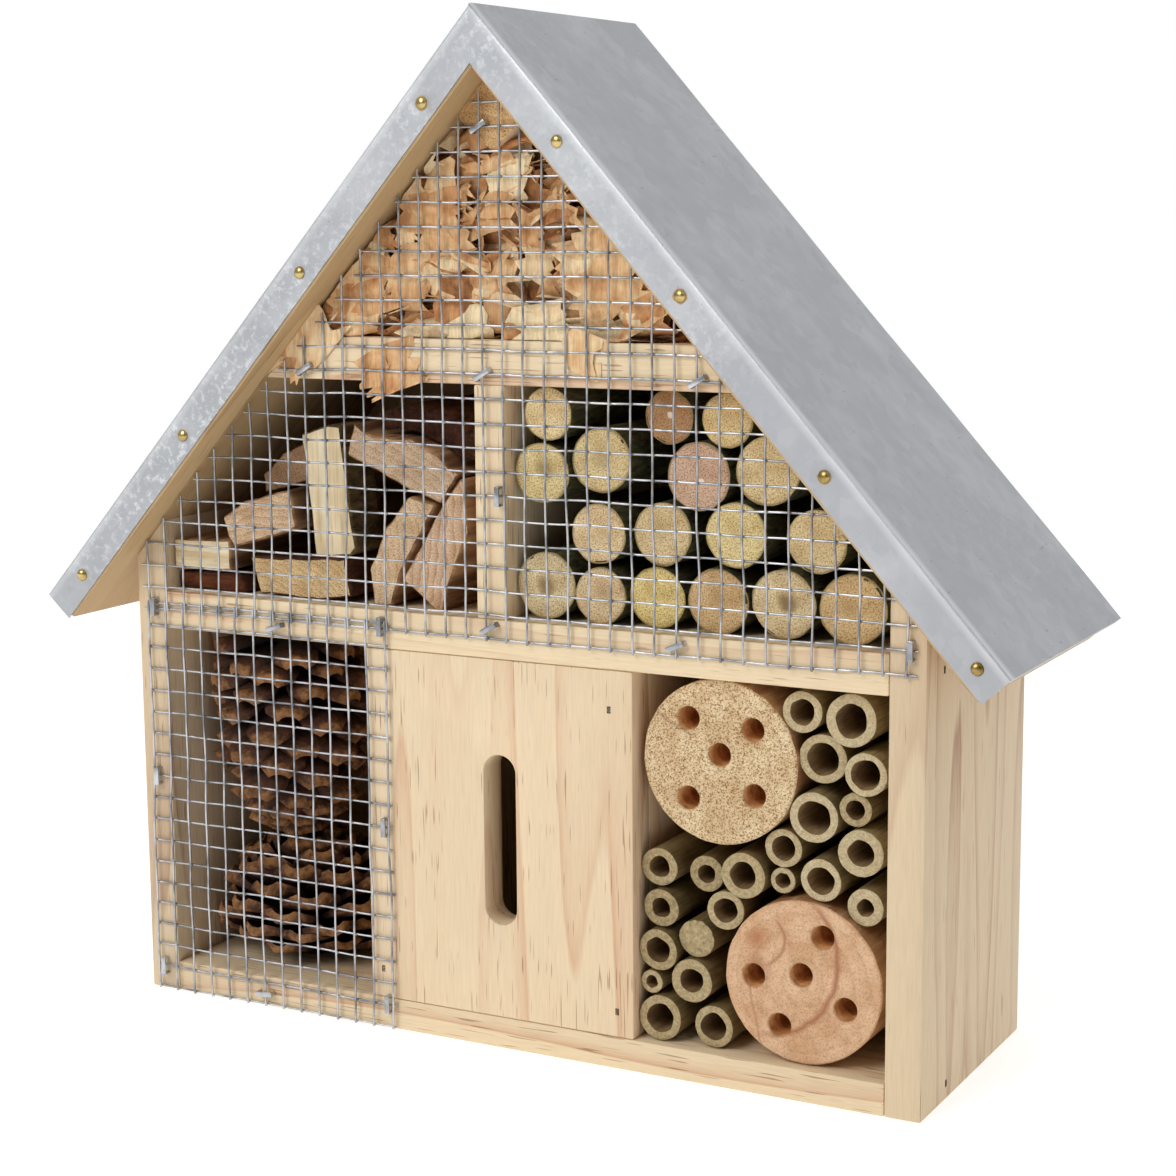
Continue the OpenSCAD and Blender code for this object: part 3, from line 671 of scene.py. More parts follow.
def sheet_half(side):
    """One slope of the sheet with its front flange and eave lip, still one thickness of surface."""
    clear()
    bpy.ops.mesh.primitive_grid_add(x_subdivisions=110, y_subdivisions=46, size=1)
    piece = bpy.context.object
    piece.scale = (REACH, sheet_high.y - FACE_Y, 1)
    piece.rotation_euler = (0, PITCH, 0)
    piece.location = RIDGE + DOWN * REACH / 2 + Vector((0, (FACE_Y + sheet_high.y) / 2, 0))
    settle(piece)

    def slope(c):
        return (c - RIDGE).dot(DOWN)

    # The front fold: three short steps round, then the flange
    pick(piece, lambda a, b: a.y < FACE_Y + 1e-6 and b.y < FACE_Y + 1e-6, "EDGE")
    for dy, dd in ((-0.62, 0.13), (-0.3, 0.32), (-0.08, 0.55), *[(0, 1.8)] * 4, (0, 1.9)):
        move = Vector((0, dy, 0)) * MM - OUT * dd * MM
        bpy.ops.mesh.extrude_edges_move(TRANSFORM_OT_translate={"value": move})
    bpy.ops.object.mode_set(mode="OBJECT")
    # The eave fold and its lip
    pick(piece, lambda a, b: min(slope(a), slope(b)) > REACH - 1e-6 and min(a.y, b.y) > FACE_Y - 1e-6,
         "EDGE")
    for dd in (0.35, 0.6, 1.05):
        bpy.ops.mesh.extrude_edges_move(TRANSFORM_OT_translate={"value": -OUT * dd * MM})
    bpy.ops.object.mode_set(mode="OBJECT")
    for v in piece.data.vertices:
        s, d = slope(v.co), -(v.co - RIDGE).dot(OUT)
        if v.co.y < FACE_Y - 1e-6:            # the flange: cut upright at the ridge, dented round its nails
            v.co += DOWN * d * math.tan(PITCH) * max(0.0, 1 - s / 0.04)
            ripple = noise.noise(v.co / 0.018) * 0.00022 * min(1, d / 0.004)
            dent = 0.0
            for nail in nail_places:
                if nail.x * side > 0:
                    apart = (Vector((nail.x * side, 0, nail.z)) - Vector((v.co.x, 0, v.co.z))).length
                    dent = max(dent, 0.0007 * math.exp(-(apart / 0.0032) ** 2))
            v.co.y += ripple + dent - (0.0005 * max(0, 1 - s / 0.02) if side > 0 else 0)
        else:
            wave = noise.noise(Vector((v.co.x * side, v.co.y, v.co.z)) / 0.05) * 0.00035
            v.co += OUT * wave * min(1, s / 0.01) * min(1, (REACH - s) / 0.01)
        v.co.x *= side
    return piece


halves = [sheet_half(1), sheet_half(-1)]
only(halves[1])
bpy.ops.object.mode_set(mode="EDIT")
bpy.ops.mesh.select_all(action="SELECT")
bpy.ops.mesh.flip_normals()
bpy.ops.object.mode_set(mode="OBJECT")
roof = joined("roof_sheet_folded", halves)
pick(roof, lambda c: abs(c.x) < 1e-5 and c.z > RIDGE.z - 0.0001 and c.y > sheet_low.y + 0.9 * MM)
bpy.ops.mesh.remove_doubles(threshold=0.00002)
bpy.ops.object.mode_set(mode="OBJECT")
finish_with(roof, "SOLIDIFY", thickness=SKIN, offset=-1)
smooth(roof, 50)


def bloom_and_fold_highlight(c):
    """How much a point of the sheet lies on the flange, where the white bloom grows, and how near it is to the
    front fold, where a highlight is painted.
    """
    depth = -(Vector((abs(c.x), c.y, c.z)) - RIDGE).dot(OUT)
    fold = math.exp(-((c.y - FACE_Y + 0.6 * MM) / (0.7 * MM)) ** 2 - (depth / (1.2 * MM)) ** 2)
    return (1.0 if c.y < FACE_Y - 0.5 * MM else 0.12, fold, 0)


mark(roof, "bloom_and_fold_highlight", bloom_and_fold_highlight)
done(roof, "galvanised_sheet", "roof_sheet", finish=galvanised("galvanised_sheet"))

# Brass dome nails through the flange
clear()
bpy.ops.mesh.primitive_uv_sphere_add(segments=20, ring_count=12, radius=1.75 * MM)
dome = bpy.context.object
dome.scale = (1, 0.62, 1)
settle(dome)
pick(dome, lambda c: c.y > 0.0001)
bpy.ops.transform.resize(value=(1, 0.1, 1), center_override=(0, 0, 0))
bpy.ops.object.mode_set(mode="OBJECT")
random.seed(4)
heads = [copy_at(dome, Matrix.Translation(p + Vector((0, 0.55 * MM, 0)))
                 @ Matrix.Rotation(random.uniform(-0.2, 0.2), 4, "X")
                 @ Matrix.Rotation(random.uniform(-0.2, 0.2), 4, "Z")) for p in nail_places]
drop(dome)
nails = joined("brass_nails", heads)
smooth(nails, 60)
done(nails, "brass", "roof_nails", finish=bright_metal("polished_brass", "cdb67a", "8d7440", 0.3))


# ---------------------------------------------------------------- welded mesh and staples
WIRE = 0.32 * MM


def sway(p):
    """How far the sheet of mesh stands out of true at a point; crossing wires move together."""
    q = Vector((p.x, 0, p.z))
    return Vector((noise.noise(q / 0.016) * 0.00042 + noise.noise(q / 0.05 + Vector((3, 1, 2))) * 0.0006,
                   -0.0003 - 0.0003 * noise.noise(q / 0.03 + Vector((9, 2, 7))),
                   noise.noise(q / 0.018 + Vector((5, 8, 1))) * 0.0004))


clear()
bpy.ops.mesh.primitive_cylinder_add(vertices=8, radius=WIRE, depth=1)
wire = bpy.context.object
pick(wire, lambda a, b: abs(a.z - b.z) > 0.5, "EDGE")
bpy.ops.mesh.subdivide(number_cuts=63)
bpy.ops.object.mode_set(mode="OBJECT")
clear()
bpy.ops.mesh.primitive_uv_sphere_add(segments=6, ring_count=4, radius=0.56 * MM)
weld = bpy.context.object
weld.scale = (1, 0.95, 1)
settle(weld)


def welded(name, node, finish):
    """Every wire of the node again, drawn and slightly wavy, with a zinc fillet at each crossing."""
    level, upright, parts = [], [], []
    for part in loose_parts(node_copy(name + "_as_cut", node)):
        a, b = extent(part)
        drop(part)
        middle = (a + b) / 2
        if b.z - a.z > b.x - a.x:
            upright.append((middle.x, a.z, b.z, middle.y))
            parts.append(copy_at(wire, Matrix.Translation(middle) @ Matrix.Diagonal((1, 1, b.z - a.z, 1))))
        else:
            level.append((middle.z, a.x, b.x, middle.y))
            parts.append(copy_at(wire, Matrix.Translation(middle) @ Matrix.Rotation(math.pi / 2, 4, "Y")
                                 @ Matrix.Diagonal((1, 1, b.x - a.x, 1))))
    for z, x0, x1, y in level:
        for x, z0, z1, y2 in upright:
            if x0 < x < x1 and z0 < z < z1:
                parts.append(copy_at(weld, Matrix.Translation((x, (y + y2) / 2, z))))
    piece = joined(name, parts)
    for v in piece.data.vertices:
        v.co += sway(v.co)
    smooth(piece, 60)
    return done(piece, "welded_wire", node, finish=finish)


ZINC_WIRE = bright_metal("galvanised_wire", "c9cbcf", "888b90", 0.36)
welded("gable_mesh", "upper_mesh", ZINC_WIRE)
welded("cone_bay_mesh", "lower_mesh", ZINC_WIRE)
drop(wire)
drop(weld)

staples = node_copy("staples", "mesh_staples")
for v in staples.data.vertices:
    if v.co.y < FRONT - 0.5 * MM:
        v.co.y -= 0.2 * MM
eased(staples, 0.0002, 3)
done(staples, "bright_steel", "mesh_staples",
     finish=bright_metal("zinc_plated_staple", "c6c8cc", "8b8e93", 0.32))

brads = node_copy("flush_brads", "brads")
eased(brads, 0.00012)
done(brads, "dark_steel", "brads", finish=bright_metal("oxidised_brad", "3a2c22", "1d1612", 0.5))
for name, node in (("hook_plate", "hanging_plate"), ("plate_screws", "hanging_screws")):
    piece = node_copy(name, node)
    eased(piece, 0.0002)
    done(piece, "bright_steel", node, finish=bright_metal(name + "_zinc", "c8cacd", "9a9c9f", 0.32))


# ---------------------------------------------------------------- wood shavings in the gable
def curl(name, length, width, radius, growth, twist, seed):
    """One shaving: a thin strip with ragged ends, rolled up as it left the plane."""
    clear()
    bpy.ops.mesh.primitive_grid_add(x_subdivisions=12, y_subdivisions=2, size=1)
    piece = bpy.context.object
    piece.name = name
    piece.scale = (length * MM, width * MM, 1)
    settle(piece)
    random.seed(seed)
    for v in piece.data.vertices:
        x, y = v.co.x + length * MM / 2, v.co.y
        if abs(abs(y) - width * MM / 2) < 1e-6:
            y += random.uniform(-0.16, 0.16) * width * MM
        if min(x, length * MM - x) < 1e-6:
            x += random.uniform(-2.2, 2.2) * MM
        r = radius * MM * (1 + growth * x / (length * MM))
        a = x / r
        y += math.sin(a * 1.3) * twist * MM
        bulge = 1 + 0.08 * noise.noise(Vector((x, y, seed * MM)) / 0.006)
        v.co = (math.sin(a) * r * bulge, y, (1 - math.cos(a)) * r * bulge)
    finish_with(piece, "SOLIDIFY", thickness=0.32 * MM, offset=0)
    smooth(piece, 50)
    low, high = extent(piece)
    piece.data.transform(Matrix.Translation(-(low + high) / 2))
    return piece


curls = [curl(f"curl_{i}", *size, i) for i, size in enumerate((
    (38, 17, 7.5, 0.25, 1.5), (30, 20, 9.0, -0.2, 0.5), (44, 11, 5.0, 0.5, 2.5), (26, 22, 12.0, 0.3, 1.0),
    (34, 14, 5.5, 0.6, 1.5), (24, 16, 16.0, -0.3, 0.8), (40, 8, 4.0, 0.4, 4.0), (22, 12, 5.0, 0.0, 1.0)))]
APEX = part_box("back_panel")[1].z
STRIP_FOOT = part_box("ridge_strip")[0].z


def roof_over(z):
    return (APEX - z) / math.tan(PITCH)


random.seed(11)
flakes = []
for layer, (y, step) in enumerate(((-34, 8.0), (-28, 8.5), (-20, 9), (-10, 10), (4, 12))):
    z = SHELF_TOP / MM + 3
    while z < STRIP_FOOT / MM + 4 - layer * 2:
        reach = roof_over(z * MM) / MM - 5
        x = -reach
        while x < reach:
            source = random.choice(curls[:6] if layer else curls)
            turn = (Matrix.Rotation(random.gauss(math.pi / 2, 0.5), 4, "Z")
                    @ Matrix.Rotation(random.uniform(-0.5, 0.5), 4, "X")
                    @ Matrix.Rotation(random.uniform(0, 2 * math.pi), 4, "Y"))
            spot = Vector((x + random.uniform(-3, 3), y + random.uniform(-3, 3),
                           z + random.uniform(-2.5, 2.5))) * MM
            size = Matrix.Scale(random.uniform(0.7, 1.15), 4)
            flake = copy_at(source, Matrix.Translation(spot) @ turn @ size)
            # Painted shade: each layer further back in the gable is given a darker tone on average
            mark(flake, "tone", min(1, max(0, random.gauss(0.5 - 0.06 * layer, 0.24))))
            for v in flake.data.vertices:      # the heap is held in by the boards, the strip and the wire
                c = v.co
                c.y = max(c.y, FRONT + (0.6 + 0.8 * noise.noise(c / 0.004)) * MM)
                c.z = max(c.z, SHELF_TOP + 0.2 * MM)
                c.z = min(c.z, STRIP_FOOT + (14 + abs(c.x) / MM) * MM)
                side = roof_over(c.z) - 1.2 * MM
                c.x = max(-side, min(side, c.x))
                if abs(c.x) < 13 * MM:
                    c.z = min(c.z, STRIP_FOOT + abs(c.x) * math.tan(PITCH) * 0.98 - 0.3 * MM)
            flakes.append(flake)
            x += step * random.uniform(0.75, 1.25)
        z += step * 0.8
# A few hang over the shelf's front edge, behind the wires
for x, z, turn, scale, kind in ((-66, 192, 0.3, 0.8, 5), (-33, 188.5, 1.2, 0.8, 3), (-37, 188, 0.5, 0.45, 5),
                                (27, 194, 1.9, 0.9, 2), (-58, 196, 0.8, 0.9, 1), (-72, 190, 1.0, 0.5, 7)):
    flake = copy_at(curls[kind], Matrix.Translation(Vector((x, FRONT / MM - 0.5, z)) * MM)
                    @ Matrix.Rotation(turn, 4, "Y")
                    @ Matrix.Rotation(math.pi / 2, 4, "X") @ Matrix.Scale(scale, 4))
    mark(flake, "tone", random.uniform(0.3, 0.7))
    for v in flake.data.vertices:
        v.co.y = FRONT - 0.45 * MM + max(-1, min(1, (v.co.y - FRONT) / (8 * MM))) * 0.35 * MM
    flakes.append(flake)
for source in curls:
    drop(source)
shavings = joined("plane_shavings", flakes)
smooth(shavings, 50)
done(shavings, "wood_shavings", "wood_shavings", finish=tinted(
    "pine_shaving", [(0.05, "6e421f"), (0.28, "c28450"), (0.52, "e3b480"), (0.85, "f6deb2")],
    swing=0.8, patch=220, stretch=(1, 1, 0.08), fibre=1500, deep=0.6))


# ---------------------------------------------------------------- kindling
def stick(name, node, slot, side, end, seed, rough=0.35, pith=(30, 10)):
    """A split stick: its node's outline with uneven riven sides and a sawn front end, whose growth
    rings curve round a pith this many mm off its corner."""
    piece = node_copy(name, node)
    finish_with(piece, "BEVEL", width=0.0005, segments=1, limit_method="ANGLE", angle_limit=0.5)
    finish_with(piece, "SUBSURF", subdivision_type="SIMPLE", levels=4, render_levels=4)
    low, _ = extent(piece)
    for v in piece.data.vertices:
        p = Vector((v.co.x, v.co.y * 0.12, v.co.z)) / 0.0035 + Vector((seed, 0, 0))
        coarse = Vector((v.co.x, v.co.y * 0.3, v.co.z)) / 0.012 + Vector((0, seed, 0))
        shift = noise.noise_vector(p) * rough * MM + noise.noise_vector(coarse) * rough * 1.6 * MM
        v.co += Vector((shift.x, shift.y * 0.35, shift.z))
    smooth(piece, 40)
    piece.data.materials.clear()
    piece.data.materials.append(side)
    piece.data.materials.append(end)
    for face in piece.data.polygons:
        face.material_index = 1 if face.normal.y < -0.75 and face.center.y < low.y + 1.5 * MM else 0
    mark(piece, "growth", lambda c: (c.x - low.x + pith[0] * MM, c.z - low.z + pith[1] * MM, c.y - low.y))
    return done(piece, slot, node)


RIVEN = split_face("riven_side", "b98f66", "6e4a30")
RED_BARK = bark_finish("red_bark", "6b4029", "2a140c")
# Painted light: the plank's sawn end is given a cream brighter than the wood, so that it reads lit in the shade
# under the roof and wall
stick("plank_end", "kindling_plank", "split_wood", RIVEN,
      split_face("pale_plank_painted_light", "fbecca", "e3c898", stretch=(0.08, 1, 1)), 1, 0.15)
stick("bark_strip", "kindling_bark_strip", "bark", RED_BARK,
      bark_finish("bark_end", "7a4426", "2c1209", (0.25, 1, 1)), 2, 0.4)
stick("block_end", "kindling_block", "split_wood", RIVEN,
      end_grain("block_end_grain", "edd2b2", 0.7, 0.0021, 0.4)[0], 3, pith=(-20, 45))
stick("upright_split", "kindling_upright", "split_wood", bark_finish("greenish_bark", "7d6a40", "35261a"),
      split_face("cream_split", "fbeccc", "e0c493", stretch=(1, 1, 0.06)), 4, 0.2)
stick("arch_slab", "kindling_arch", "split_wood", RIVEN,
      end_grain("arch_end_grain", "dcc3a6", 0.7, 0.0024, 0.3)[0], 5, pith=(20, 70))
stick("leaning_slab", "kindling_left_slab", "split_wood", RIVEN,
      end_grain("leaning_end_grain", "ebd2b0", 0.7, 0.0022, 0.3)[0], 6, pith=(40, -10))
stick("striped_slab", "kindling_right_slab", "split_wood", RIVEN,
      end_grain("striped_end_grain", "eccfb2", 0.6, 0.0024, 0.55)[0], 7, pith=(70, -25))
stick("bottom_block", "kindling_bottom", "split_wood", RED_BARK,
      end_grain("bottom_end_grain", "ecd3a4", 0.8, 0.0018, 0.35)[0], 8, 0.5, (5, 40))
stick("rear_slab", "kindling_rear", "split_wood", RED_BARK, end_grain("rear_end_grain", "b8997a", 0.7)[0], 9)
stick("bark_slab", "kindling_bark_slab", "bark", RED_BARK, bark_finish("slab_end", "55301d", "1e0d07"), 10, 0.6)


# ---------------------------------------------------------------- cut branches
def branch(part, index, tint, heart):
    """A sawn branch: uneven round wood with a thin bark that stands back from the cut."""
    low, high = extent(part)
    cx, cz, radius = (low.x + high.x) / 2, (low.z + high.z) / 2, (high.x - low.x) / 2
    drop(part)
    clear()
    bpy.ops.mesh.primitive_cylinder_add(vertices=40, radius=radius, depth=high.y - low.y, end_fill_type="NGON",
                                        location=(cx, (low.y + high.y) / 2, cz), rotation=(math.pi / 2, 0, 0))
    piece = bpy.context.object
    settle(piece)
    pick(piece, lambda centre, normal: normal.y < -0.9, "FACE")
    bpy.ops.mesh.inset(thickness=0.35 * MM)
    bpy.ops.mesh.inset(thickness=0.45 * MM)
    bpy.ops.transform.translate(value=(0, -0.35 * MM, 0))
    for share in (0.16, 0.28, 0.4):
        bpy.ops.mesh.inset(thickness=radius * share)
    bpy.ops.object.mode_set(mode="OBJECT")
    pick(piece, lambda a, b: abs(a.y - b.y) > 0.02, "EDGE")
    bpy.ops.mesh.subdivide(number_cuts=9)
    bpy.ops.object.mode_set(mode="OBJECT")
    lean_x, lean_z = random.uniform(-0.05, 0.05), random.uniform(-0.05, 0.05)
    for v in piece.data.vertices:
        rx, rz = v.co.x - cx, v.co.z - cz
        a = math.atan2(rz, rx)
        around = Vector((math.cos(a), math.sin(a), index * 3.1))
        along = Vector((0, 0, v.co.y / 0.02))
        swell = (1 + 0.045 * noise.noise(around * 0.9) + 0.022 * noise.noise(around * 3.4 + along)
                 + 0.012 * noise.noise(around * 9))
        v.co.x, v.co.z = cx + rx * swell * 0.985, cz + rz * swell * 0.985
        if v.co.y < low.y + 2 * MM:
            v.co.y += rx * lean_x + rz * lean_z + noise.noise(Vector((rx, index, rz)) / 0.002) * 0.00012
    off_x, off_z = random.uniform(-0.15, 0.15) * radius, random.uniform(-0.15, 0.15) * radius
    pith = Vector((cx + off_x, low.y, cz + off_z))
    mark(piece, "growth", lambda c: (c.x - pith.x, c.z - pith.z, c.y - pith.y))
    mark(piece, "rim", lambda c: (math.hypot(c.x - cx, c.z - cz) / radius, 0, 0))
    mark(piece, "tint", lambda c: hex_colour(tint)[:3])
    mark(piece, "heart", heart)
    return piece


def branch_end():
    """Sawn green branch: pale sapwood, furry from the saw, with a brown or a white pith in some."""
    material, tree, surface, colour = end_grain("branch_end", None, 0.8, 0.0016, 0.14)
    heart = marked(tree, "heart", "Fac")
    place = marked(tree, "growth")
    uneven = plus(tree, noisy(tree, place, 260, 3), -0.004, from_axis(tree, place))
    brown = spread(tree, uneven, 0.0016, -0.0006, 0.0, 0.85)
    brown = add(tree, "Math", {0: brown, 1: heart}, operation="MULTIPLY", use_clamp=True)
    colour = over(tree, brown, colour, "86683f")
    white = spread(tree, uneven, -0.0012, -0.0016, 0.0, -1.0)
    white = add(tree, "Math", {0: white, 1: heart}, operation="MULTIPLY", use_clamp=True)
    colour = over(tree, white, colour, "efe4cf")
    edge = spread(tree, add(tree, "SeparateXYZ", {"Vector": marked(tree, "rim")}), 0.91, 0.97, 0.0, 0.75)
    tree.links.new(over(tree, edge, colour, "7d6c3e"), surface.inputs["Base Color"])
    return material


def rows(piece):
    """Sorts the branches by the row that they lie in, then from the left."""
    low, high = extent(piece)
    return int(((low.z + high.z) / 2 - BRANCH_FOOT) // (15.5 * MM)), low.x


# The colour of each cut, and how brown (above 0) or white (below 0) its pith, row by row from the left
random.seed(21)
BRANCH_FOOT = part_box("branch_sections")[0].z
CUTS = [("e8dab2", 0.9), ("ecd6ae", 0.3), ("f2e09c", 0.0), ("e2c494", 0.2), ("ecdab0", 1.0), ("e6ca98", 0.2),
        ("f4deb4", 0.1), ("ecd8aa", 0.3), ("f8e8ae", 0.1), ("eedaaa", 0.1),
        ("f2e2aa", 0.7), ("f0deac", 0.4), ("e2c2aa", -1.0), ("eedaaa", 0.0),
        ("fae6b4", 0.0), ("bc946c", -0.8), ("ecd49e", 0.1)]
parts = sorted(loose_parts(node_copy("branches_as_cut", "branch_sections")), key=rows)
branches = joined("branch_cuts", [branch(part, i, *CUTS[i]) for i, part in enumerate(parts)])
smooth(branches, 40)
branches.data.materials.append(bark_finish("young_bark", "6f6a45", "2f2a1c", (1, 0.25, 1), 600))
branches.data.materials.append(branch_end())
for face in branches.data.polygons:
    face.material_index = 1 if face.normal.y < -0.75 and face.center.y < 0 else 0
done(branches, "branch_wood", "branch_sections")


# ---------------------------------------------------------------- the right bay: drilled logs and cane
def drilled(name, node, end, side, bore):
    """A round of debarked wood, cross-cut and drilled with five blind holes."""
    piece = node_copy(name, node)
    low, high = extent(piece)
    cx, cz, radius = (low.x + high.x) / 2, (low.z + high.z) / 2, (high.x - low.x) / 2
    eased(piece, 0.00035, 1, 60)
    for v in piece.data.vertices:      # the sawn rim is a little out of round
        rx, rz = v.co.x - cx, v.co.z - cz
        if math.hypot(rx, rz) > radius - 0.6 * MM:
            swell = 1 - 0.008 + 0.008 * noise.noise(Vector((rx, 0, rz)) / (3 * MM))
            v.co.x, v.co.z = cx + rx * swell, cz + rz * swell
    piece.data.materials.clear()
    for material in (side, end, bore):
        piece.data.materials.append(material)
    for face in piece.data.polygons:
        out = math.hypot(face.center.x - cx, face.center.z - cz) > radius - 1.2 * MM
        if face.normal.y < -0.5 and face.center.y < low.y + 2 * MM:
            face.material_index = 1
        else:
            face.material_index = 0 if out or face.normal.y > 0.9 else 2
    return piece, cx, cz


def log_end(name, pale, torn, arcs):
    """A cross-cut log: torn pale fibres over faint rings, with the odd brown growth line or knot. An arc
    has a centre, radius, width, colour and strength, and the spot and reach within which it shows."""
    material, tree, surface, wood = end_grain(name, pale, torn, 0.0042, 0.16)
    place = marked(tree, "growth")
    wander = add(tree, "Math", {0: noisy(tree, place, 130, 2), 1: 0.5}, operation="SUBTRACT")

    def apart(x, z):
        offset = add(tree, "Mapping", {"Vector": place, "Location": (-x * MM, -z * MM, 0), "Scale": (1, 1, 0)})
        return plus(tree, wander, 0.0024, from_axis(tree, offset))

    for centre, radius, width, colour, amount, spot, reach in arcs:
        off = add(tree, "Math", {0: apart(*centre), 1: radius * MM}, operation="SUBTRACT")
        off = add(tree, "Math", {0: off}, operation="ABSOLUTE")
        line = spread(tree, off, width * MM, 0.0, 0.0, amount)
        near = spread(tree, apart(*spot), reach * MM, reach * 0.7 * MM)
        wood = over(tree, times(tree, line, near), wood, colour)
    tree.links.new(wood, surface.inputs["Base Color"])
    return material


LOG_SIDE = split_face("debarked_side", "d6a878", "a87348")
BORED = split_face("drilled_hole", "e0a56c", "b0763f", stretch=(1, 1, 1))
for name, node, pale, torn, arcs in (
        ("upper_log", "drilled_log_upper", "e8d4b0", 1.0,
         (((0.2, 35.6), 30, 0.8, "8d6a48", 0.6, (-14, 9), 8),)),
        ("lower_log", "drilled_log_lower", "e4bf9c", 0.42,
         (((-12.2, 6), 22, 1.2, "a4694a", 0.9, (6, 0), 26),
          ((-12.8, 10.3), 7.4, 0.7, "a4694a", 0.75, (-6, 9), 8),
          ((-12.8, 10.3), 0, 4.4, "a8602f", 0.8, (-12.8, 10.3), 9),
          ((-13, 2.3), 0, 4.6, "8f4f28", 0.7, (-13, 2.3), 9),
          ((30, -3), 44.5, 0.5, "a57350", 0.6, (-13, -9), 13)))):
    log, cx, cz = drilled(name, node, log_end(name + "_end", pale, torn, arcs), LOG_SIDE, BORED)
    mark(log, "growth", lambda c: (c.x - cx, c.z - cz, c.y))
    smooth(log, 40)
    done(log, "log_wood", node)

CANE_END = tinted("cane_end", [(0.1, "8f7a52"), (0.45, "bea97e"), (0.9, "dccaa4")], swing=0.9, patch=900,
                  stretch=(1, 0.2, 1), fibre=2200, deep=0.5, depth=0.0003)
CANE_SKIN = tinted("cane_skin", [(0.0, "564628"), (0.5, "8c764a"), (1.0, "b09a6a")], swing=1.0, patch=90,
                   stretch=(1, 0.05, 1), fibre=1500, deep=0.45)
CANE_BORE = tinted("cane_bore", [(0.0, "6a4f32"), (0.5, "9c7f58"), (1.0, "bd9f74")], swing=1.0, patch=120,
                   stretch=(1, 0.1, 1), fibre=1300, deep=0.5)


def cane(number):
    """A length of cane sawn just past a node, so its bore ends in the node's wall."""
    node = f"tube_{number}"
    low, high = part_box(node)
    cx, cz, radius = (low.x + high.x) / 2, (low.z + high.z) / 2, (high.x - low.x) / 2
    ring = [(math.hypot(v.co.x - cx, v.co.z - cz), v.co.y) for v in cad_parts[node].data.vertices]
    bore = min(r for r, y in ring if y < low.y + 1e-5)
    clear()
    bpy.ops.mesh.primitive_circle_add(vertices=40, radius=radius, fill_type="NOTHING",
                                      location=(cx, low.y, cz), rotation=(math.pi / 2, 0, 0))
    piece = bpy.context.object
    piece.name = f"cane_{number}"
    settle(piece)
    bpy.ops.object.mode_set(mode="EDIT")
    bpy.ops.mesh.select_all(action="SELECT")
    for length in (0.6, 3, 8, 14, 14, 14, (high.y - low.y) / MM - 53.6):
        bpy.ops.mesh.extrude_edges_move(TRANSFORM_OT_translate={"value": (0, length * MM, 0)})
    bpy.ops.mesh.edge_face_add()
    bpy.ops.object.mode_set(mode="OBJECT")
    pick(piece, lambda c: c.y < low.y + 1e-6)
    centre = (cx, low.y, cz)
    if bore < radius * 0.95:
        depth = max(y for r, y in ring if abs(r - bore) < 1e-5) - low.y
        share = bore / radius
        for step in (0.965, (0.965 + share) / 2 / 0.965, share / ((0.965 + share) / 2)):
            forward = -0.12 * MM if step == 0.965 else 0
            bpy.ops.mesh.extrude_edges_move(TRANSFORM_OT_translate={"value": (0, forward, 0)})
            bpy.ops.transform.resize(value=(step, 1, step), center_override=centre)
        for length in (0.5, 4, depth / MM - 4.5):
            bpy.ops.mesh.extrude_edges_move(TRANSFORM_OT_translate={"value": (0, length * MM, 0)})
        bpy.ops.mesh.edge_face_add()
    else:
        for step in (0.95, 0.7, 0.4):
            bpy.ops.mesh.extrude_edges_move(TRANSFORM_OT_translate={"value": (0, -0.2 * MM, 0)})
            bpy.ops.transform.resize(value=(step, 1, step), center_override=centre)
        bpy.ops.mesh.edge_face_add()
    outward(piece)
    lean = (random.uniform(-0.06, 0.06), random.uniform(-0.06, 0.06))
    for v in piece.data.vertices:
        rx, rz = v.co.x - cx, v.co.z - cz
        r, a = math.hypot(rx, rz), math.atan2(rz, rx)
        around = Vector((math.cos(a), math.sin(a), number * 2.3))
        inner = r < (bore + radius) / 2
        swell = 1 + (0.10 if inner else 0.035) * noise.noise(around * (1.4 if inner else 0.8)) \
            + 0.012 * noise.noise(around * 5 + Vector((0, 0, v.co.y / 0.01)))
        v.co.x, v.co.z = cx + rx * swell * 0.99, cz + rz * swell * 0.99
        if v.co.y < low.y + 1.2 * MM:
            v.co.y += rx * lean[0] + rz * lean[1] + noise.noise(Vector((rx, number, rz)) / 0.0015) * 0.00015
    smooth(piece, 40)
    mark(piece, "tone", random.uniform(0.3, 0.7))
    for material in (CANE_SKIN, CANE_END, CANE_BORE):
        piece.data.materials.append(material)
    for face in piece.data.polygons:
        r = math.hypot(face.center.x - cx, face.center.z - cz)
        if face.normal.y < -0.6 and face.center.y < low.y + 2 * MM:
            face.material_index = 1
        elif face.normal.y < 0.9 and r < (bore * 1.12 if bore < radius * 0.95 else 0):
            face.material_index = 2
    done(piece, "cane", node)


random.seed(33)
for number in range(1, 23):
    cane(number)


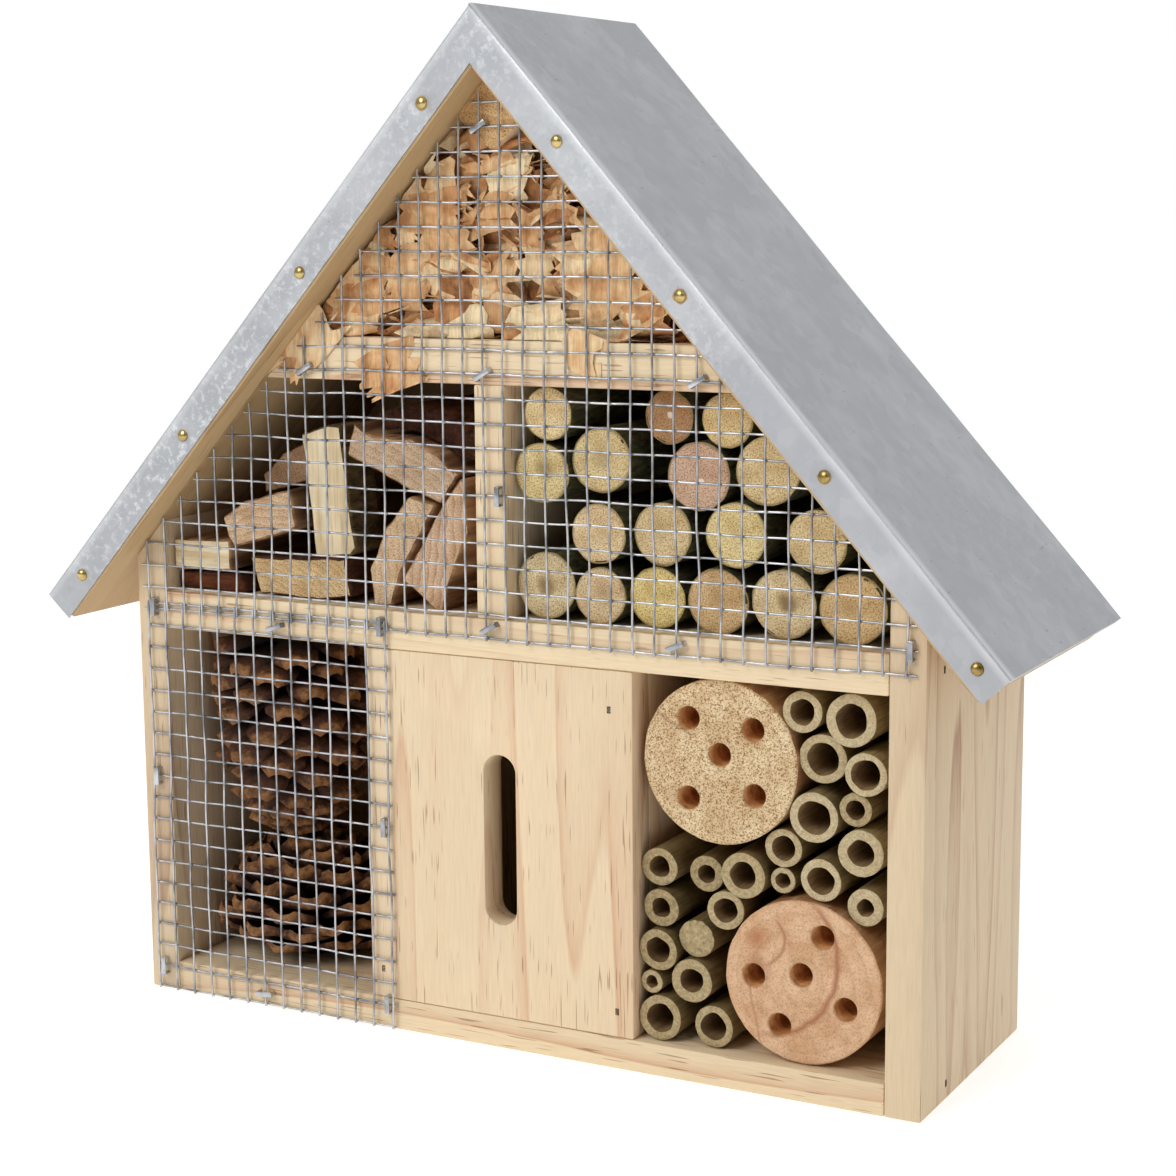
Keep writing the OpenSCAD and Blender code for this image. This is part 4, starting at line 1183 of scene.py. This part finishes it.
# ---------------------------------------------------------------- pine cones
def cone_scale():
    """One woody scale, pointing along X: narrow where it joins the core, rounded and thick at its tip."""
    clear()
    bpy.ops.mesh.primitive_cube_add(size=1)
    piece = bpy.context.object
    only(piece)
    bpy.ops.object.mode_set(mode="EDIT")
    bpy.ops.mesh.select_all(action="SELECT")
    bpy.ops.mesh.subdivide(number_cuts=4)
    bpy.ops.object.mode_set(mode="OBJECT")
    for v in piece.data.vertices:
        t, w, h = v.co.x + 0.5, v.co.y * 2, v.co.z
        t = t ** 0.75
        width = 0.14 + 0.60 * t ** 0.9
        width *= math.sqrt(max(0.0, 1 - max(0.0, (t - 0.58) / 0.44) ** 2.4))
        thick = 0.05 + 0.03 * t + 0.12 * max(0.0, t - 0.72) * (1 - 0.7 * w * w)
        umbo = 0.05 * math.exp(-((t - 0.94) / 0.06) ** 2 - (w / 0.45) ** 2)
        rise = 0.10 * t * t + 0.09 * w * w * t
        v.co = (t, w * width * 0.5, h * thick + rise - (umbo if h < 0 else -umbo * 0.3))
    mark(piece, "tip", lambda c: (c.x, c.y, c.z))
    return piece


def cone_finish():
    """An open pine cone: dry red-brown scales with grey-tan weathered tips that are partly a painted highlight;
    painted shade takes each scale near black towards the core.
    """
    material, tree, surface = finish("pine_cone_scale", Roughness=0.72, IOR=1.4)
    along = add(tree, "SeparateXYZ", {"Vector": marked(tree, "tip")})
    patch = noisy(tree, here(tree), 420, 4, 0.65)
    # Painted shade: the colour goes near black towards each scale's root and the core, where shade falls
    # between the scales; the pale tips are partly painted highlight
    tip_and_painted_shade = plus(tree, patch, 0.28, times(tree, along, 0.85))
    colour = ramp(tree, tip_and_painted_shade, (0.45, "0e0605"), (0.7, "28150d"), (0.9, "56331e"), (1.0, "a07045"))
    colour = over(tree, 0.8, colour, ramp(tree, patch, (0.3, 0.45), (0.62, 1.0)), "MULTIPLY")
    tree.links.new(colour, surface.inputs["Base Color"])
    raise_grain(tree, surface, patch, 0.0006)
    return material


CONE = cone_finish()


def pine_cone(name, node, up, count, seed):
    low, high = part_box(node)
    centre, radius, height = (low + high) / 2, (high.x - low.x) / 2, high.z - low.z
    foot = low.z if up > 0 else high.z
    random.seed(seed)
    parts = []
    clear()
    bpy.ops.mesh.primitive_cone_add(vertices=16, radius1=radius * 0.2, radius2=radius * 0.07,
                                    depth=height * 0.86, location=(0, 0, height * 0.46))
    core = bpy.context.object
    settle(core)
    # The core takes a low value here, so painted shade makes it near black
    mark(core, "tip", lambda c: (0.3, 0, 0))
    parts.append(core)
    for i in range(count):
        t = (i + 0.5) / count
        spread = math.sin(math.pi * min(1, 0.22 + 0.92 * (1 - t) * (0.62 + 0.38 * t)))
        size = radius * (0.30 + 0.72 * spread) * random.uniform(0.94, 1.05)
        rise = math.radians(8 + 62 * t ** 1.3 + random.uniform(-5, 5))
        place = (Matrix.Translation((0, 0, height * (0.05 + 0.74 * t))) @ Matrix.Rotation(i * 2.39996, 4, "Z")
                 @ Matrix.Rotation(-rise, 4, "Y")
                 @ Matrix.Rotation(random.uniform(-0.12, 0.12), 4, "X")
                 @ Matrix.Diagonal((size, size * (1.05 - 0.35 * t), size * (1.1 - 0.3 * t), 1)))
        parts.append(copy_at(CONE_SCALE, place))
    cone = joined(name, parts)
    turned = Matrix.Rotation(0 if up > 0 else math.pi, 4, "X")
    cone.data.transform(Matrix.Translation((centre.x, centre.y, foot)) @ turned)
    small, large = extent(cone)        # grown to fill the space that the node takes
    for v in cone.data.vertices:
        v.co = Vector(a + (c - s) * (b - a) / (l - s)
                      for c, s, l, a, b in zip(v.co, small, large, low, high))
    smooth(cone, 50)
    done(cone, "pine_cone", node, finish=CONE)


CONE_SCALE = cone_scale()
pine_cone("lower_cone", "pine_cone_bottom", 1, 66, 3)
pine_cone("upper_cone", "pine_cone_top", -1, 84, 8)
drop(CONE_SCALE)
